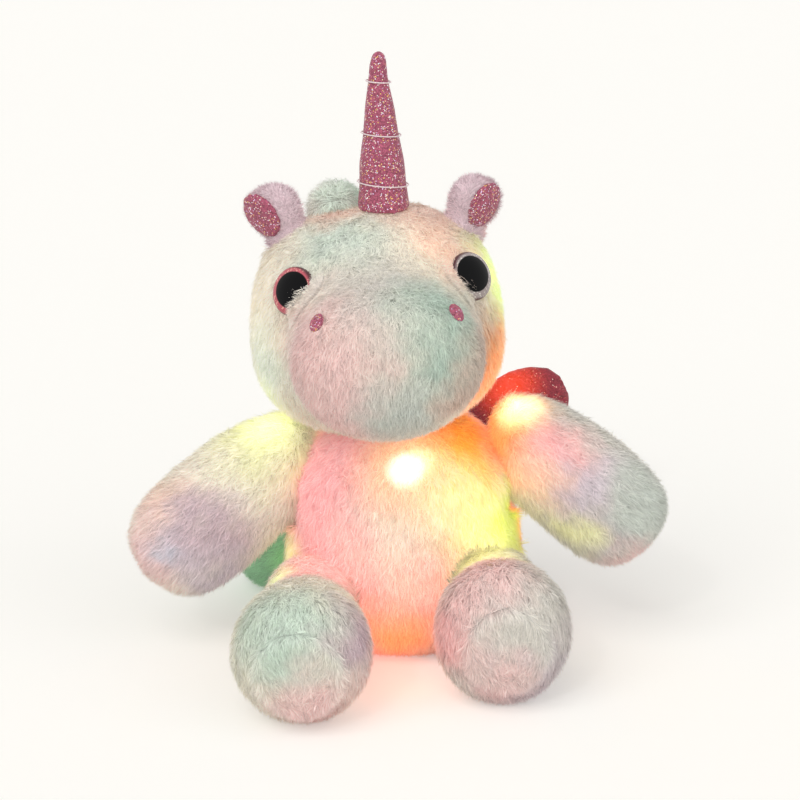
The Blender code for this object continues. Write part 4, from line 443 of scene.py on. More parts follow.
def smooth_form(nodes, voxel, reach):
    """One form over several solids with its valleys filled: swollen by reach, made one skin and shrunk again. Long pile
    closes over the seams between the solids at this level."""
    parts = []
    for node in nodes:
        part = copy_of_solid(node, "form_of_" + node)
        if node.endswith("_filling"):
            places, normals = corners_of(part)
            part.data.vertices.foreach_set("co", (places + normals * 0.0021).ravel())
        parts.append(part)
    only(parts[0])
    for part in parts[1:]:
        part.select_set(True)
    bpy.ops.object.join()
    form = rounded(bpy.context.object, voxel, 2)
    for way, passes in ((reach, 2), (-reach, 8)):
        only(form)
        swollen = form.modifiers.new("swollen", "DISPLACE")
        swollen.strength = way
        swollen.mid_level = 0.0
        bpy.ops.object.modifier_apply(modifier="swollen")
        rounded(form, voxel, passes)
    places, normals = corners_of(form)
    faces = [tuple(face.vertices) for face in form.data.polygons]
    bpy.data.objects.remove(form)
    return BVHTree.FromPolygons([Vector(place) for place in places], faces), places, normals, faces


def on_form(roots, form):
    """For each root, the nearest place on a smooth form and the form's own rounded normal there."""
    tree, places, normals, faces = form
    found = [tree.find_nearest(root) for root in roots]
    nearest = np.array([hit[0] for hit in found])
    ring = np.array([(faces[hit[2]] * 2)[:4] for hit in found])
    weight = 1 / (((places[ring] - nearest[:, None, :]) ** 2).sum(2) + 1e-8)
    turned = (normals[ring] * weight[:, :, None]).sum(1)
    return nearest, turned / np.linalg.norm(turned, axis=1)[:, None]


TUFT_FIBRES = 14
TUFT_LEAN = 0.34
FIBRE_LEAN = 0.32
TUFT_DRAW = 60.0
ROOT_STRAY = 0.0012
ROOT_HIGHEST = 0.012


def grow_pile(name, cloth, body, finish, fibres, length, seed, comb=(0, 0, -1), rise=0.50, keep=None, form=None,
              width=0.00038):
    """Sets bent flat fibres, pointed at both ends, into a cloth, leaning in small tufts and combed one way.
    keep(place) says which roots stay. Over a form, the pile stands level across the seams, and its roots stray a
    little, so that no line shows where two cloths meet."""
    chance = np.random.default_rng(seed)
    mesh = cloth.data
    mesh.calc_loop_triangles()
    corners = np.empty(len(mesh.loop_triangles) * 3, np.int32)
    mesh.loop_triangles.foreach_get("vertices", corners)
    corners = corners.reshape(-1, 3)
    places, normals = corners_of(cloth)
    allowed = np.empty(len(places))
    mesh.attributes["pile_share"].data.foreach_get("value", allowed)
    first, second, third = (places[corners[:, side]] for side in range(3))
    weight = 0.5 * np.linalg.norm(np.cross(second - first, third - first), axis=1)
    weight = weight * (allowed[corners].mean(1) > 0.05)
    if keep is not None:
        weight = weight * keep((first + second + third) / 3)
    picked = chance.choice(len(corners), fibres, p=weight / weight.sum())
    across, upward = chance.random(fibres), chance.random(fibres)
    folded = across + upward > 1
    across[folded], upward[folded] = 1 - across[folded], 1 - upward[folded]
    shares = np.stack([1 - across - upward, across, upward], 1)
    roots = (places[corners[picked]] * shares[:, :, None]).sum(1)
    outwards = (normals[corners[picked]] * shares[:, :, None]).sum(1)
    outwards /= np.linalg.norm(outwards, axis=1)[:, None]
    long = length * (allowed[corners[picked]] * shares).sum(1) * chance.uniform(0.78, 1.08, fibres)
    if form is not None:
        nearest, level = on_form(roots, form)
        strayed = chance.normal(0, ROOT_STRAY, (fibres, 3))
        strayed -= level * (strayed * level).sum(1)[:, None]
        lifted = nearest - level * PILE_DEPTH + strayed
        higher = ((lifted - roots) * level).sum(1)
        raised = (higher > 0) & (higher < ROOT_HIGHEST) & (long > 0.5 * length)
        roots[raised] = lifted[raised]
        outwards = np.where((higher > -0.004)[:, None], level, outwards)

    tufts = max(8, fibres // TUFT_FIBRES)
    tree = KDTree(tufts)
    heads = chance.choice(fibres, tufts, replace=False)
    for index, head in enumerate(heads):
        tree.insert(roots[head], index)
    tree.balance()
    owner = np.array([tree.find(root)[1] for root in roots])
    lean = np.asarray(comb, float) + chance.normal(0, TUFT_LEAN, (tufts, 3))
    lean = lean[owner] + chance.normal(0, FIBRE_LEAN, (fibres, 3))
    lean = lean + (roots[heads][owner] - roots) * TUFT_DRAW
    lean -= outwards * (lean * outwards).sum(1)[:, None]
    lean /= np.linalg.norm(lean, axis=1)[:, None] + 1e-9
    stand = np.clip(rise + chance.normal(0, 0.12, fibres), 0.1, 0.97)
    near = outwards * stand[:, None] + lean * np.sqrt(1 - stand ** 2)[:, None]
    far = outwards * (0.45 * stand)[:, None] + lean * 0.85 + np.array((0, 0, -0.12))
    far /= np.linalg.norm(far, axis=1)[:, None]
    middles = roots + near * (0.5 * long)[:, None]
    tips = middles + far * (0.5 * long)[:, None]
    side = np.cross(near, outwards)
    side /= np.linalg.norm(side, axis=1)[:, None] + 1e-9
    side = side + outwards * chance.normal(0, 0.35, fibres)[:, None]
    side *= (0.5 * width / np.linalg.norm(side, axis=1))[:, None]
    points = np.stack([roots, middles + side, middles - side, tips], 1)
    points[:, :, 2] = np.maximum(points[:, :, 2], 0.0003)
    flipped = (np.cross(middles - roots, side) * outwards).sum(1) > 0
    points[flipped] = points[flipped][:, [0, 2, 1, 3]]

    grown = bpy.data.meshes.new(name)
    grown.vertices.add(fibres * 4)
    grown.vertices.foreach_set("co", points.ravel())
    order = np.array([0, 1, 2, 1, 3, 2]) + 4 * np.arange(fibres)[:, None]
    grown.loops.add(fibres * 6)
    grown.loops.foreach_set("vertex_index", order.ravel())
    grown.polygons.add(fibres * 2)
    grown.polygons.foreach_set("loop_start", np.arange(fibres * 2) * 3)
    grown.update(calc_edges=True)
    grown.polygons.foreach_set("use_smooth", np.ones(fibres * 2, bool))
    tone = grown.attributes.new("fibre_tone", "FLOAT", "POINT")
    shades = chance.normal(0.5, 0.26, fibres) + chance.normal(0, 0.10, tufts)[owner]
    tone.data.foreach_set("value", np.repeat(np.clip(shades, 0, 1), 4))
    along = grown.attributes.new("fibre_along", "FLOAT", "POINT")
    along.data.foreach_set("value", np.tile([0.0, 0.5, 0.5, 1.0], fibres))
    shading = outwards * 0.9 + chance.normal(0, 0.20, (fibres, 3))
    shading = np.repeat(shading, 4, 0) + np.stack([near, near, far, far], 1).reshape(-1, 3) * 0.22
    shading /= np.linalg.norm(shading, axis=1)[:, None]
    grown.normals_split_custom_set_from_vertices(shading)

    middle = roots.mean(0)
    turn = np.arctan2(roots[:, 0] - middle[0], -(roots[:, 1] - middle[1])) / math.tau + 0.5
    high = (roots[:, 2] - roots[:, 2].min()) / np.ptp(roots[:, 2])
    flat = np.stack([turn, high], 1) * 0.98 + 0.008
    spread = np.array([(0.001, 0), (0, 0.002), (0.002, 0.002), (0.001, 0.004)])
    layer = grown.uv_layers.new(name="OFBake")
    layer.uv.foreach_set("vector", (flat[:, None, :] + spread[None, :, :]).reshape(-1, 2)[order.ravel()].ravel())
    piece = bpy.data.objects.new(name, grown)
    bpy.context.scene.collection.objects.link(piece)
    grown.materials.append(finish)
    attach(piece, body)
    return piece


body_dye = dyed_pile(
    "tie_dyed_plush_of_the_body", "rose",
    # The lemon and lime spots on the flank, the amber spot under the chin and the apricot spot low in front are painted
    # lamp glow in the base colour.
    (((0.000, -0.055, 0.070), 0.038, "cream"), ((0.0020, -0.047, 0.101), 0.034, "peach"),
     ((0.048, -0.030, 0.070), 0.044, "lemon_dye_and_painted_glow"), ((0.060, -0.015, 0.066), 0.030, "painted_lime_glow"),
     ((0.036, -0.020, 0.116), 0.034, "painted_amber_glow"), ((0.000, -0.050, 0.015), 0.030, "painted_apricot_glow"),
     ((0.000, 0.055, 0.070), 0.050, "mint"), ((-0.030, 0.050, 0.040), 0.040, "green"),
     ((0.040, 0.045, 0.100), 0.036, "lilac"), ((-0.055, 0.020, 0.040), 0.034, "green")),
    (((0.0010, -0.0468, 0.1014), 0.012, "FFFFFF", 1.2), ((0.0090, -0.0468, 0.1080), 0.012, "FFF3D0", 0.7),
     ((0.0019, -0.0468, 0.1014), 0.038, "FFC052", 0.40), ((0.0120, -0.0440, 0.1120), 0.020, "FFB040", 0.30),
     ((0.0480, -0.0250, 0.0657), 0.036, "E2FF5A", 0.20), ((0.0450, -0.0400, 0.0540), 0.024, "F4FF6A", 0.40),
     ((0.0303, -0.0400, 0.0841), 0.036, "FFF04A", 0.42),
     ((0.0337, -0.0350, 0.1081), 0.030, "FF8A10", 0.50), ((0.0050, -0.0500, 0.0400), 0.050, "FFA07A", 0.20),
     ((-0.0459, -0.0274, 0.0905), 0.050, "FF8AA0", 0.18), ((-0.0358, -0.0433, 0.0543), 0.044, "FF9A94", 0.16),
     ((-0.0540, -0.0150, 0.0450), 0.024, "B8FF5A", 0.45), ((-0.0114, -0.0450, 0.0120), 0.034, "FF7A30", 0.50),
     ((0.0603, 0.0000, 0.0620), 0.020, "FF7A3A", 0.60),
     ((-0.0500, 0.0150, 0.1080), 0.032, "F0FF9A", 0.30), ((0.0500, 0.0100, 0.1120), 0.034, "FF9A50", 0.45)))
body_cloth = outer_cloth(copy_of_solid("body_skin", "body_plush_cloth"), "body_filling")
draw_in(body_cloth, against=("left_arm", "right_arm", "left_leg", "right_leg", "left_wing", "right_wing", "tail"),
        clear=("left_zip_tape", "right_zip_tape"))
sewn(body_cloth, body_dye, "body", "body_skin")
for pile_name, fibres, seed, side_sign in (("body_pile_front", 84000, 11, -1), ("body_pile_back", 66000, 12, 1)):
    pile = grow_pile(pile_name, body_cloth, "body", body_dye, fibres, 0.0095, seed, comb=(0, 0, -1.1),
                     keep=lambda place, way=side_sign: place[:, 1] * way > 0)

# HEAD
# The head is a stuffed ball of the same plush, pale at the brow and sides, lime where its lamp shines through.

head_dye = dyed_pile(
    "tie_dyed_plush_of_the_head", "cream",
    (((-0.0300, -0.0380, 0.2090), 0.034, "pale_mint"), ((-0.0350, -0.0150, 0.2240), 0.022, "peach"),
     ((0.0131, -0.0173, 0.2213), 0.034, "peach"), ((0.0280, -0.0400, 0.2080), 0.024, "peach"),
     ((-0.0700, -0.0300, 0.1500), 0.030, "pale_mint"), ((-0.0130, 0.0450, 0.1700), 0.050, "lilac"),
     # The lemon and apricot spots on the head's lit side are painted lamp glow in the base colour.
     ((0.0450, -0.0100, 0.1900), 0.034, "lemon_dye_and_painted_glow"), ((0.0446, -0.0283, 0.1500), 0.030, "painted_apricot_glow"),
     ((0.0250, 0.0400, 0.1500), 0.040, "mint"), ((-0.0120, -0.0780, 0.1960), 0.044, "grey"),
     ((-0.0420, -0.0850, 0.1680), 0.044, "pink"), ((-0.0300, -0.0940, 0.1394), 0.038, "pink"),
     ((0.0220, -0.0786, 0.1850), 0.036, "deep_mint"), ((0.0150, -0.0959, 0.1650), 0.026, "deep_mint"),
     ((0.0000, -0.0975, 0.1400), 0.028, "sage"), ((0.0420, -0.0650, 0.1600), 0.036, "beige"),
     ((0.0300, -0.0900, 0.1450), 0.022, "beige")),
    (((0.0480, -0.0050, 0.1860), 0.030, "C8FF7A", 0.50), ((0.0430, -0.0250, 0.1980), 0.022, "FFF07A", 0.22),
     ((0.0440, -0.0100, 0.1500), 0.030, "FFA44A", 0.40), ((0.0300, -0.0300, 0.1300), 0.036, "FF9A4A", 0.40),
     ((0.0400, -0.0550, 0.1450), 0.024, "FFA060", 0.16), ((0.0150, -0.0400, 0.2100), 0.030, "FFD89A", 0.12),
     ((-0.0640, -0.0200, 0.1280), 0.026, "E8FF9A", 0.25), ((-0.0700, -0.0150, 0.1700), 0.050, "FFF6D8", 0.16),
     ((-0.0650, -0.0300, 0.1500), 0.034, "FFF0E0", 0.12), ((0.0300, -0.0700, 0.1270), 0.032, "FF9A50", 0.10)))
head_cloth = outer_cloth(copy_of_solid("head_skin", "head_plush_cloth"), "head_filling")
draw_in(head_cloth, against=("muzzle", "mane", "horn"), clear=("left_eye", "right_eye"), clear_reach=0.006, least=0.6)
sewn(head_cloth, head_dye, "head", "head_skin")
face_form = smooth_form(("head_filling", "muzzle"), 0.0038, 0.032)
for pile_name, fibres, seed, side_sign in (("head_pile_front", 82000, 21, -1), ("head_pile_back", 64000, 22, 1)):
    pile = grow_pile(pile_name, head_cloth, "head", head_dye, fibres, 0.0078, seed, comb=(0, 0, -0.9),
                     keep=lambda place, way=side_sign: (place[:, 1] + 0.008) * way > 0, form=face_form,
                     width=0.00034)

# MUZZLE
# A large padded panel of the same dyed plush sewn over the lower face. Its pile meets the head's, so no seam shows.
# Longer pile stands up between the muzzle and each eye and covers the inner side of the eye.

muzzle_cloth = puffed(rounded(copy_of_solid("muzzle", "muzzle_plush_cloth"), 0.0034, 8), 4.0, 0.0012)
draw_in(muzzle_cloth, against=("head_skin",), clear=("left_nostril", "right_nostril"), clear_reach=0.0030,
        least=0.65, droop=0.004)
sewn(muzzle_cloth, head_dye, "head", "muzzle")
pile = grow_pile("muzzle_pile", muzzle_cloth, "head", head_dye, 92000, 0.0072, 31, comb=(0, 0, -1.0),
                 keep=lambda place: place[:, 1] < -0.040, form=face_form, width=0.00033)


# For each eye, the middle of its seat on the head and the way it faces.
EYE_SEATS = {"left": (Vector((0.0322, -0.0365, 0.1945)), Vector((0.640, -0.663, 0.389)).normalized()),
             "right": (Vector((-0.0518, -0.0462, 0.1895)), Vector((-0.594, -0.740, 0.316)).normalized())}
CRESCENT_ROWS = 15
CRESCENT_START = -88.0
CRESCENT_STEP = 8.5
CRESCENT_REACHES = (0.0108, 0.0128, 0.0155, 0.0190)
CRESCENT_SHARES = (1.0, 0.75, 0.45, 0.3)


def eye_side(centre, facing, inwards):
    """A narrow crescent along the inner and lower side of an eye, at the level of the face's pile."""
    upwards = facing.cross(inwards)
    upwards = upwards if upwards.z > 0 else -upwards
    turns = [math.radians(CRESCENT_START + CRESCENT_STEP * row) for row in range(CRESCENT_ROWS)]
    spots = [centre + (inwards * math.cos(turn) + upwards * math.sin(turn)) * reach
             for turn in turns for reach in CRESCENT_REACHES]
    level, normals = on_form(spots, face_form)
    faces = [(4 * row + side, 4 * row + side + 1, 4 * row + side + 5, 4 * row + side + 4)
             for row in range(CRESCENT_ROWS - 1) for side in (0, 1, 2)]
    ends = np.repeat(np.sin(np.linspace(0.25, math.pi - 0.25, CRESCENT_ROWS)), 4)
    ground = bpy.data.meshes.new("eye_side")
    ground.from_pydata(level - normals * 0.0002, [], faces)
    if Vector(normals.mean(0)).dot(ground.polygons[0].normal) < 0:
        ground.flip_normals()
    mark = ground.attributes.new("pile_share", "FLOAT", "POINT")
    mark.data.foreach_set("value", np.tile(CRESCENT_SHARES, CRESCENT_ROWS) * ends)
    piece = bpy.data.objects.new("eye_side", ground)
    bpy.context.scene.collection.objects.link(piece)
    return piece


for side, seed in (("left", 33), ("right", 34)):
    eye_centre, eye_facing = EYE_SEATS[side]
    towards = Vector((-1.0 if side == "left" else 1.0, 0.0, 0.0))
    towards = (towards - eye_facing * eye_facing.dot(towards)).normalized()
    ground = eye_side(eye_centre, eye_facing, towards)
    pile = grow_pile(side + "_eye_side_pile", ground, "head", head_dye, 6000, 0.0102, seed, rise=0.84,
                     comb=tuple(towards * -1.4 + Vector((0, 0, 0.3))), width=0.00032)
    bpy.data.objects.remove(ground)

# NOSTRILS
# Two small patches of rose cloth with iridescent glitter, sewn onto the muzzle.


def glitter_cloth(name, colour, flake, share, sparks, bump=0.6, creases=0.15):
    """Cloth coated with glitter: flakes of a given size, some of which catch the light in white, gold or violet."""
    finish = finish_of(name, colour, 0.5, specular=0.5, sheen=0.1)
    shader = finish.node_tree.nodes["Principled BSDF"]
    place = add_node(finish, "ShaderNodeTexCoord").outputs["Object"]
    cells = add_node(finish, "ShaderNodeTexVoronoi", {"Vector": place, "Scale": 1.0 / flake}, feature="F1")
    picked = add_node(finish, "ShaderNodeSeparateColor", {0: cells.outputs["Color"]})
    tone = add_node(finish, "ShaderNodeMapRange", {"Value": picked.outputs[0], "To Min": 0.50, "To Max": 1.45})
    ground = scaled(finish, dye(colour)[:3], tone.outputs[0])
    lit = add_node(finish, "ShaderNodeMath", {0: picked.outputs[1], 1: 1.0 - share},
                   operation="GREATER_THAN").outputs[0]
    ramp = add_node(finish, "ShaderNodeValToRGB", {0: picked.outputs[2]})
    ramp.color_ramp.interpolation = "CONSTANT"
    for index, spark in enumerate(sparks):
        stop = ramp.color_ramp.elements[0] if index == 0 else ramp.color_ramp.elements.new(index / len(sparks))
        stop.color = dye(spark)
    ramp.color_ramp.elements.remove(ramp.color_ramp.elements[-1])
    body = add_node(finish, "ShaderNodeMix", {0: lit, 6: ground, 7: ramp.outputs[0]}, data_type="RGBA").outputs[2]
    rough = add_node(finish, "ShaderNodeMapRange", {"Value": lit, "To Min": 0.55, "To Max": 0.18}).outputs[0]
    metal = add_node(finish, "ShaderNodeMapRange", {"Value": lit, "To Min": 0.175, "To Max": 0.75}).outputs[0]
    drape = add_node(finish, "ShaderNodeTexNoise", {"Vector": place, "Scale": 95.0, "Detail": 2.0, "Distortion": 1.2})
    drape = add_node(finish, "ShaderNodeBump", {"Height": drape.outputs["Fac"], "Strength": creases, "Distance": 0.004})
    tilt = add_node(finish, "ShaderNodeBump", {"Height": picked.outputs[0], "Strength": bump, "Distance": 0.0003,
                                               "Normal": drape.outputs[0]})
    finish.node_tree.links.new(body, shader.inputs["Base Color"])
    finish.node_tree.links.new(rough, shader.inputs["Roughness"])
    finish.node_tree.links.new(metal, shader.inputs["Metallic"])
    finish.node_tree.links.new(tilt.outputs[0], shader.inputs["Normal"])
    return finish


rose_glitter = glitter_cloth("rose_glitter_cloth", "A8546C", 0.00048, 0.09, ("FFE3D0", "F7D9FF", "FFD27A", "FFFFFF"))
for side in ("left", "right"):
    nostril = rounded(copy_of_solid(side + "_nostril", side + "_nostril_patch"), 0.0006, 3)
    nostril.data.transform(Matrix.Translation((0.0, 0.0006, 0.0024)))
    sewn(nostril, rose_glitter, "head", side + "_nostril")

# EYES
# Bought-in safety eyes: a clear polished dome over a black pupil and a ring of glitter, held by a shank and a washer.

EYE_RADIUS = 0.0120
EYE_DOME = 0.0058
EYE_RIM = 0.0012
EYE_SHANK_RADIUS = 0.0025
EYE_SHANK_LENGTH = 0.0125
EYE_INSET = 0.0012
EYE_LIFT = 0.0006
PUPIL_RADIUS = 0.0090
PUPIL_SHIFT = 0.0018
PUPIL_BLUR = 0.0002
# The right eye's ring is its rose glitter; the left eye's grey ring is painted reflection, the dulled look its dome
# gives the same rose ring.
for side, ring_dye_and_painted_reflection, ring_spark_and_painted_reflection in (("left", "A89C9A", "E8E2DA"), ("right", "C4626C", "F2B9A8")):
    centre, facing = EYE_SEATS[side]
    inwards = Vector((-centre.x / abs(centre.x), 0, 0))
    inwards = (inwards - facing * facing.dot(inwards)).normalized()
    bpy.ops.object.select_all(action="DESELECT")
    bpy.ops.mesh.primitive_uv_sphere_add(segments=48, ring_count=24, radius=1.0)
    eye = bpy.context.object
    eye.name = side + "_safety_eye"
    bpy.ops.object.mode_set(mode="EDIT")
    bpy.ops.mesh.select_all(action="SELECT")
    bpy.ops.mesh.bisect(plane_co=(0, 0, 0), plane_no=(0, 0, 1), use_fill=True, clear_inner=True)
    bpy.ops.mesh.select_all(action="SELECT")
    bpy.ops.transform.resize(value=(EYE_RADIUS, EYE_RADIUS, EYE_DOME), center_override=(0, 0, 0))
    bpy.ops.transform.translate(value=(0, 0, EYE_RIM))
    bpy.ops.mesh.select_all(action="DESELECT")
    bpy.ops.object.mode_set(mode="OBJECT")
    for face in eye.data.polygons:
        face.select = face.normal.z < -0.99
    bpy.ops.object.mode_set(mode="EDIT")
    bpy.ops.mesh.extrude_region_move(TRANSFORM_OT_translate={"value": (0, 0, -EYE_RIM)})
    bpy.ops.mesh.inset(thickness=EYE_RADIUS - EYE_SHANK_RADIUS)
    bpy.ops.mesh.extrude_region_move(TRANSFORM_OT_translate={"value": (0, 0, -EYE_SHANK_LENGTH)})
    bpy.ops.object.mode_set(mode="OBJECT")
    centre = centre + inwards * EYE_INSET
    eye.matrix_world = (Matrix.Translation(centre + facing * EYE_LIFT)
                        @ facing.to_track_quat("Z", "Y").to_matrix().to_4x4())
    bpy.ops.object.transform_apply(location=True, rotation=True, scale=True)
    bpy.ops.object.shade_smooth_by_angle(angle=math.radians(40))
    acrylic = finish_of("polished_acrylic_over_%s_glitter_ring" % side, "101012", 0.06, specular=0.12)
    place = add_node(acrylic, "ShaderNodeTexCoord").outputs["Object"]
    offset = add_node(acrylic, "ShaderNodeVectorMath", {0: place, 1: centre}, operation="SUBTRACT").outputs[0]
    depth = add_node(acrylic, "ShaderNodeVectorMath", {0: offset, 1: facing}, operation="DOT_PRODUCT").outputs["Value"]
    along = scaled(acrylic, facing, depth)
    flat = add_node(acrylic, "ShaderNodeVectorMath", {0: offset, 1: along}, operation="SUBTRACT").outputs[0]
    ring = add_node(acrylic, "ShaderNodeVectorMath", {0: flat}, operation="LENGTH").outputs["Value"]
    pupil = distance_to(acrylic, flat, inwards * PUPIL_SHIFT)
    cells = add_node(acrylic, "ShaderNodeTexVoronoi", {"Vector": flat, "Scale": 1800.0})
    picked = add_node(acrylic, "ShaderNodeSeparateColor", {0: cells.outputs["Color"]})
    spark = add_node(acrylic, "ShaderNodeMath", {0: picked.outputs[0], 1: 0.86}, operation="GREATER_THAN").outputs[0]
    glitter = add_node(acrylic, "ShaderNodeMix", {0: spark, 6: dye(ring_dye_and_painted_reflection), 7: dye(ring_spark_and_painted_reflection)},
                       data_type="RGBA").outputs[2]
    edge = add_node(acrylic, "ShaderNodeMapRange", {"Value": ring, "From Min": 0.0108, "From Max": 0.0117}).outputs[0]
    glitter = add_node(acrylic, "ShaderNodeMix", {0: edge, 6: glitter, 7: dye("5A3A3E")}, data_type="RGBA").outputs[2]
    outside = add_node(acrylic, "ShaderNodeMapRange", {"Value": pupil, "From Min": PUPIL_RADIUS - PUPIL_BLUR,
                                                       "From Max": PUPIL_RADIUS + PUPIL_BLUR}).outputs[0]
    shown = add_node(acrylic, "ShaderNodeMix", {0: outside, 6: dye("08080A"), 7: glitter}, data_type="RGBA").outputs[2]
    acrylic.node_tree.links.new(shown, acrylic.node_tree.nodes["Principled BSDF"].inputs["Base Color"])
    eye.data.materials.append(acrylic)
    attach(eye, "head")
    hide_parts(side + "_eye")
    dress(side + "_eye_glitter_disc", rose_glitter)

# HORN
# A stuffed cone of rose glitter cloth, tied round three times with thin silver-pink thread that draws in its waists.

horn = rounded(copy_of_solid("horn", "horn_cone"), 0.0010, 6)
sewn(horn, rose_glitter, "head", "horn")
dress("horn_thread", grained(finish_of("twisted_metallic_thread", "E8D5D8", 0.35, metallic=0.3),
                             2500.0, 0.25, 0.5, 0.8))

# EARS
# Small cups of lilac plush, folded at the root and lined with rose glitter cloth.

# The ears have no lamp inside; their glow is painted fill light only.
ear_dye = dyed_pile("mauve_plush_of_the_ears", "mauve", (((0.0400, 0.0, 0.2100), 0.012, "pink"),), painted_fill_glow=0.24)
for side, seed in (("left", 41), ("right", 42)):
    ear = rounded(copy_of_solid(side + "_ear", side + "_ear_cloth"), 0.0012, 4)
    ear.data.transform(Matrix.Translation((-0.0012 if side == "left" else 0.0030, 0, 0.0006)))
    draw_in(ear, depth=0.0015, against=("head_skin",), clear=(side + "_ear_lining",), clear_reach=0.004, least=0.25)
    sewn(ear, ear_dye, side + "_ear_flap", side + "_ear")
    pile = grow_pile(side + "_ear_pile", ear, side + "_ear_flap", ear_dye, 22000, 0.0080, seed, comb=(0, 0, 0.5),
                     rise=0.72)
    lining = rounded(copy_of_solid(side + "_ear_lining", side + "_ear_lining_cloth"), 0.0007, 4)
    middle = sum((corner.co for corner in lining.data.vertices), Vector()) / len(lining.data.vertices)
    lining.data.transform(Matrix.Translation(middle + Vector((0, -0.0012, 0.0012))) @ Matrix.Scale(1.28, 4)
                          @ Matrix.Translation(-middle))
    sewn(lining, rose_glitter, side + "_ear_flap", side + "_ear_lining")

# MANE
# A padded crest of mint plush behind the horn and down the back of the head.

mane_dye = dyed_pile(
    "mint_plush_of_the_mane", "mint",
    (((-0.0400, 0.0, 0.2200), 0.020, "grey"), ((-0.0200, 0.0500, 0.1900), 0.030, "blue")), painted_fill_glow=0.24)
mane = puffed(rounded(copy_of_solid("mane", "mane_cloth"), 0.0022, 8), 4.0, 0.0008)
draw_in(mane, against=("head_skin", "horn"))
sewn(mane, mane_dye, "head", "mane")
pile = grow_pile("mane_pile", mane, "head", mane_dye, 28000, 0.0100, 51, comb=(0, 0.2, -0.5))

# ARMS
# Stuffed limbs of the same plush, swinging at the shoulders. The toy's left one is orange and pink, its right one
# yellow-green and beige, with a lilac and blue paw patch.

left_arm_dye = dyed_pile(
    "tie_dyed_plush_of_the_left_arm", "grey",
    # The apricot spot at the shoulder is painted lamp glow in the base colour.
    (((0.0500, -0.0150, 0.1120), 0.034, "painted_apricot_glow"), ((0.0731, -0.0300, 0.1057), 0.028, "rose"),
     ((0.0900, -0.0300, 0.0860), 0.026, "lilac"), ((0.0674, -0.0300, 0.0880), 0.020, "peach"),
     ((0.1023, -0.0300, 0.0680), 0.022, "mauve"), ((0.1200, -0.0336, 0.0760), 0.036, "sage"),
     ((0.0830, -0.0300, 0.0640), 0.022, "lemon_dye_and_painted_glow"), ((0.1100, -0.0200, 0.0480), 0.022, "pink")),
    (((0.0545, -0.0120, 0.1262), 0.019, "FFF4C8", 1.0), ((0.0600, -0.0120, 0.1240), 0.018, "FFF0B0", 0.5),
     ((0.0500, -0.0080, 0.1240), 0.032, "FF9A30", 0.45), ((0.0430, -0.0200, 0.1070), 0.034, "FF6A20", 0.50),
     ((0.0731, -0.0300, 0.1057), 0.030, "FF8A9A", 0.10), ((0.0560, -0.0250, 0.0860), 0.030, "FFC04A", 0.20)))
right_arm_dye = dyed_pile(
    "tie_dyed_plush_of_the_right_arm", "cream",
    # The lemon spot at the shoulder is painted lamp glow in the base colour.
    (((-0.0686, -0.0096, 0.1137), 0.040, "lemon_dye_and_painted_glow"), ((-0.1148, -0.0331, 0.0760), 0.026, "peach"),
     ((-0.1250, -0.0371, 0.0522), 0.032, "pink"), ((-0.0900, -0.0331, 0.0610), 0.026, "mauve"),
     ((-0.1090, -0.0375, 0.0600), 0.024, "lilac"), ((-0.1000, -0.0300, 0.0700), 0.022, "mauve"),
     ((-0.1154, -0.0300, 0.0560), 0.014, "blue"), ((-0.0933, -0.0300, 0.0420), 0.026, "lilac")),
    (((-0.0660, -0.0100, 0.1130), 0.022, "F6FFC8", 0.35), ((-0.0720, -0.0100, 0.1100), 0.040, "EFFF9A", 0.10),
     ((-0.0540, -0.0200, 0.0880), 0.022, "FF9A80", 0.12)))
for side, seed, arm_dye, comb in (("left", 61, left_arm_dye, (0.8, 0, -0.7)),
                                  ("right", 62, right_arm_dye, (-0.8, 0, -0.7))):
    arm = puffed(rounded(copy_of_solid(side + "_arm", side + "_arm_cloth"), 0.0032, 6), 20.0, 0.0010)
    draw_in(arm, against=("body_skin",))
    sewn(arm, arm_dye, side + "_arm_limb", side + "_arm")
    pile = grow_pile(side + "_arm_pile", arm, side + "_arm_limb", arm_dye, 70000, 0.0095, seed, comb=comb)

# LEGS AND SOLES
# Short stuffed legs that stick out in front, each with a round foot and a sole panel of the same dyed plush.

left_leg_dye = dyed_pile(
    "tie_dyed_plush_of_the_left_leg", "grey",
    (((0.0361, -0.0900, 0.0639), 0.036, "pink"), ((0.0180, -0.1050, 0.0380), 0.030, "rose"),
     ((0.0480, -0.1140, 0.0100), 0.030, "pink"), ((0.0600, -0.0800, 0.0200), 0.040, "lilac")),
    (((0.0400, -0.0500, 0.0600), 0.040, "FFF27A", 0.60), ((0.0180, -0.0700, 0.0300), 0.034, "FF9A80", 0.25)))
right_leg_dye = dyed_pile(
    "tie_dyed_plush_of_the_right_leg", "cream",
    (((-0.0561, -0.1390, 0.0480), 0.044, "mint"), ((-0.0221, -0.1250, 0.0445), 0.026, "mauve"),
     ((-0.0400, -0.1398, 0.0080), 0.034, "pink"), ((-0.0250, -0.1100, 0.0200), 0.026, "pink"),
     ((-0.0400, -0.0500, 0.0600), 0.040, "rose")),
    (((-0.0400, -0.0500, 0.0600), 0.034, "FFA89A", 0.38), ((-0.0660, -0.0550, 0.0520), 0.018, "A8FF5A", 0.60),
     ((-0.0180, -0.0900, 0.0250), 0.030, "FF9A80", 0.22)))
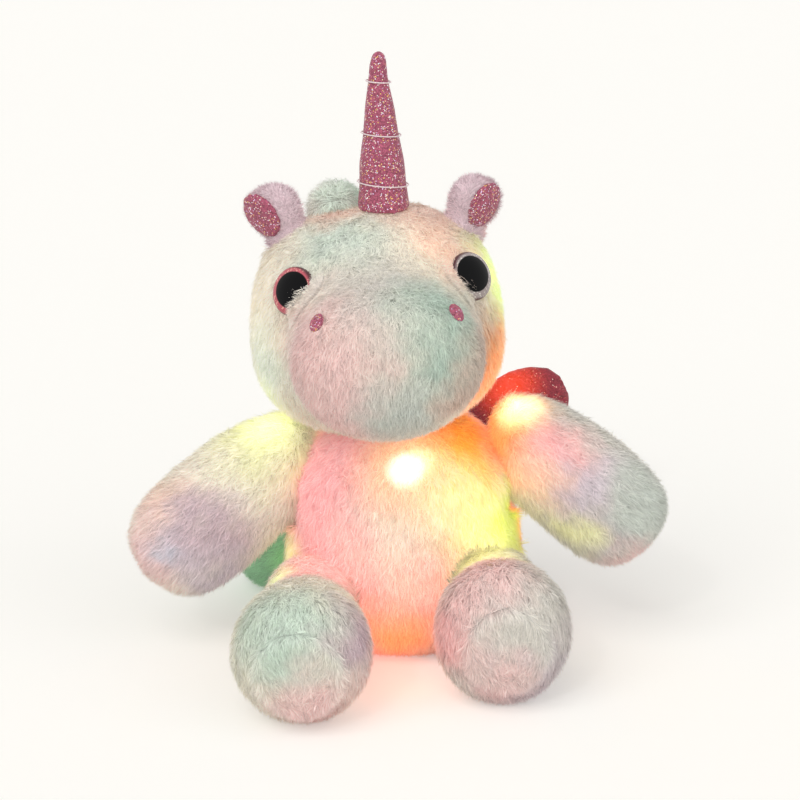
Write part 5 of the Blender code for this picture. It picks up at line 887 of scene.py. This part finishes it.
for side, seed, leg_dye in (("left", 71, left_leg_dye), ("right", 73, right_leg_dye)):
    foot_form = smooth_form((side + "_leg", side + "_sole"), 0.0030, 0.022)
    leg = puffed(rounded(copy_of_solid(side + "_leg", side + "_leg_cloth"), 0.0032, 6), 20.0, 0.0010)
    draw_in(leg, against=("body_skin",))
    sewn(leg, leg_dye, side + "_leg_limb", side + "_leg")
    pile = grow_pile(side + "_leg_pile", leg, side + "_leg_limb", leg_dye, 68000, 0.0086, seed, comb=(0.2, -0.5, -1.1),
                     rise=0.42, form=foot_form)
    sole = rounded(copy_of_solid(side + "_sole", side + "_sole_cloth"), 0.0012, 3)
    draw_in(sole, depth=0.0034)
    sewn(sole, leg_dye, side + "_leg_limb", side + "_sole")
    pile = grow_pile(side + "_sole_pile", sole, side + "_leg_limb", leg_dye, 22000, 0.0086, seed + 1,
                     comb=(0.2, -0.5, -1.1), rise=0.42, form=foot_form)

# WINGS
# Two small stuffed wings of crimson satin with fine glitter, sewn to the back. The lamp inside lights one from behind.

crimson_satin = glitter_cloth("crimson_glitter_satin", "94303E", 0.0004, 0.02, ("FFB0A0", "FF8A70", "FFE0D0"), bump=0.3,
                              creases=0.9)
glow_place = add_node(crimson_satin, "ShaderNodeTexCoord").outputs["Object"]
glow_away = distance_to(crimson_satin, glow_place, (0.0560, 0.0480, 0.1190))
glow_share = add_node(crimson_satin, "ShaderNodeMapRange",
                      {"Value": glow_away, "From Min": 0.026, "From Max": 0.004, "To Max": 0.9},
                      interpolation_type="SMOOTHSTEP").outputs[0]
glow_colour = scaled(crimson_satin, dye("FF4A0C")[:3], glow_share)
satin_shader = crimson_satin.node_tree.nodes["Principled BSDF"]
crimson_satin.node_tree.links.new(glow_colour, satin_shader.inputs["Emission Color"])
satin_shader.inputs["Emission Strength"].default_value = 1.0
for side in ("left", "right"):
    wing = puffed(rounded(copy_of_solid(side + "_wing", side + "_wing_cloth"), 0.0015, 3), 10.0, 0.0012)
    sewn(wing, crimson_satin, side + "_wing_flap_body", side + "_wing")

# TAIL
# A thick stuffed tail of mint plush that lies on the floor to one side.

tail_dye = dyed_pile("mint_plush_of_the_tail", "green", (((-0.0300, 0.0600, 0.0300), 0.026, "mint"),),
                     (((-0.0589, 0.0350, 0.0215), 0.024, "B8FF6A", 0.40),), painted_fill_glow=0.20)
tail = puffed(rounded(copy_of_solid("tail", "tail_cloth"), 0.0032, 6), 20.0, 0.0010)
draw_in(tail, against=("body_skin",))
sewn(tail, tail_dye, "tail_limb", "tail")
pile = grow_pile("tail_pile", tail, "tail_limb", tail_dye, 46000, 0.0100, 81, comb=(-0.9, 0, -0.3))

# BACK ZIP
# A small moulded zip with woven tapes, sewn into the back over the battery pouch.

zip_tape = woven("woven_zip_tape", "E7B9BC", 0.0007)
for node in ("left_zip_tape", "right_zip_tape"):
    dress(node, zip_tape)
zip_acetal = grained(finish_of("moulded_rose_acetal", "DFA3AB", 0.3, coat=0.2), 1400.0, 0.24, 0.38, 0.2)
for node in ("left_zip_teeth", "right_zip_teeth", "zip_bottom_stop", "zip_pull"):
    dress(node, zip_acetal)
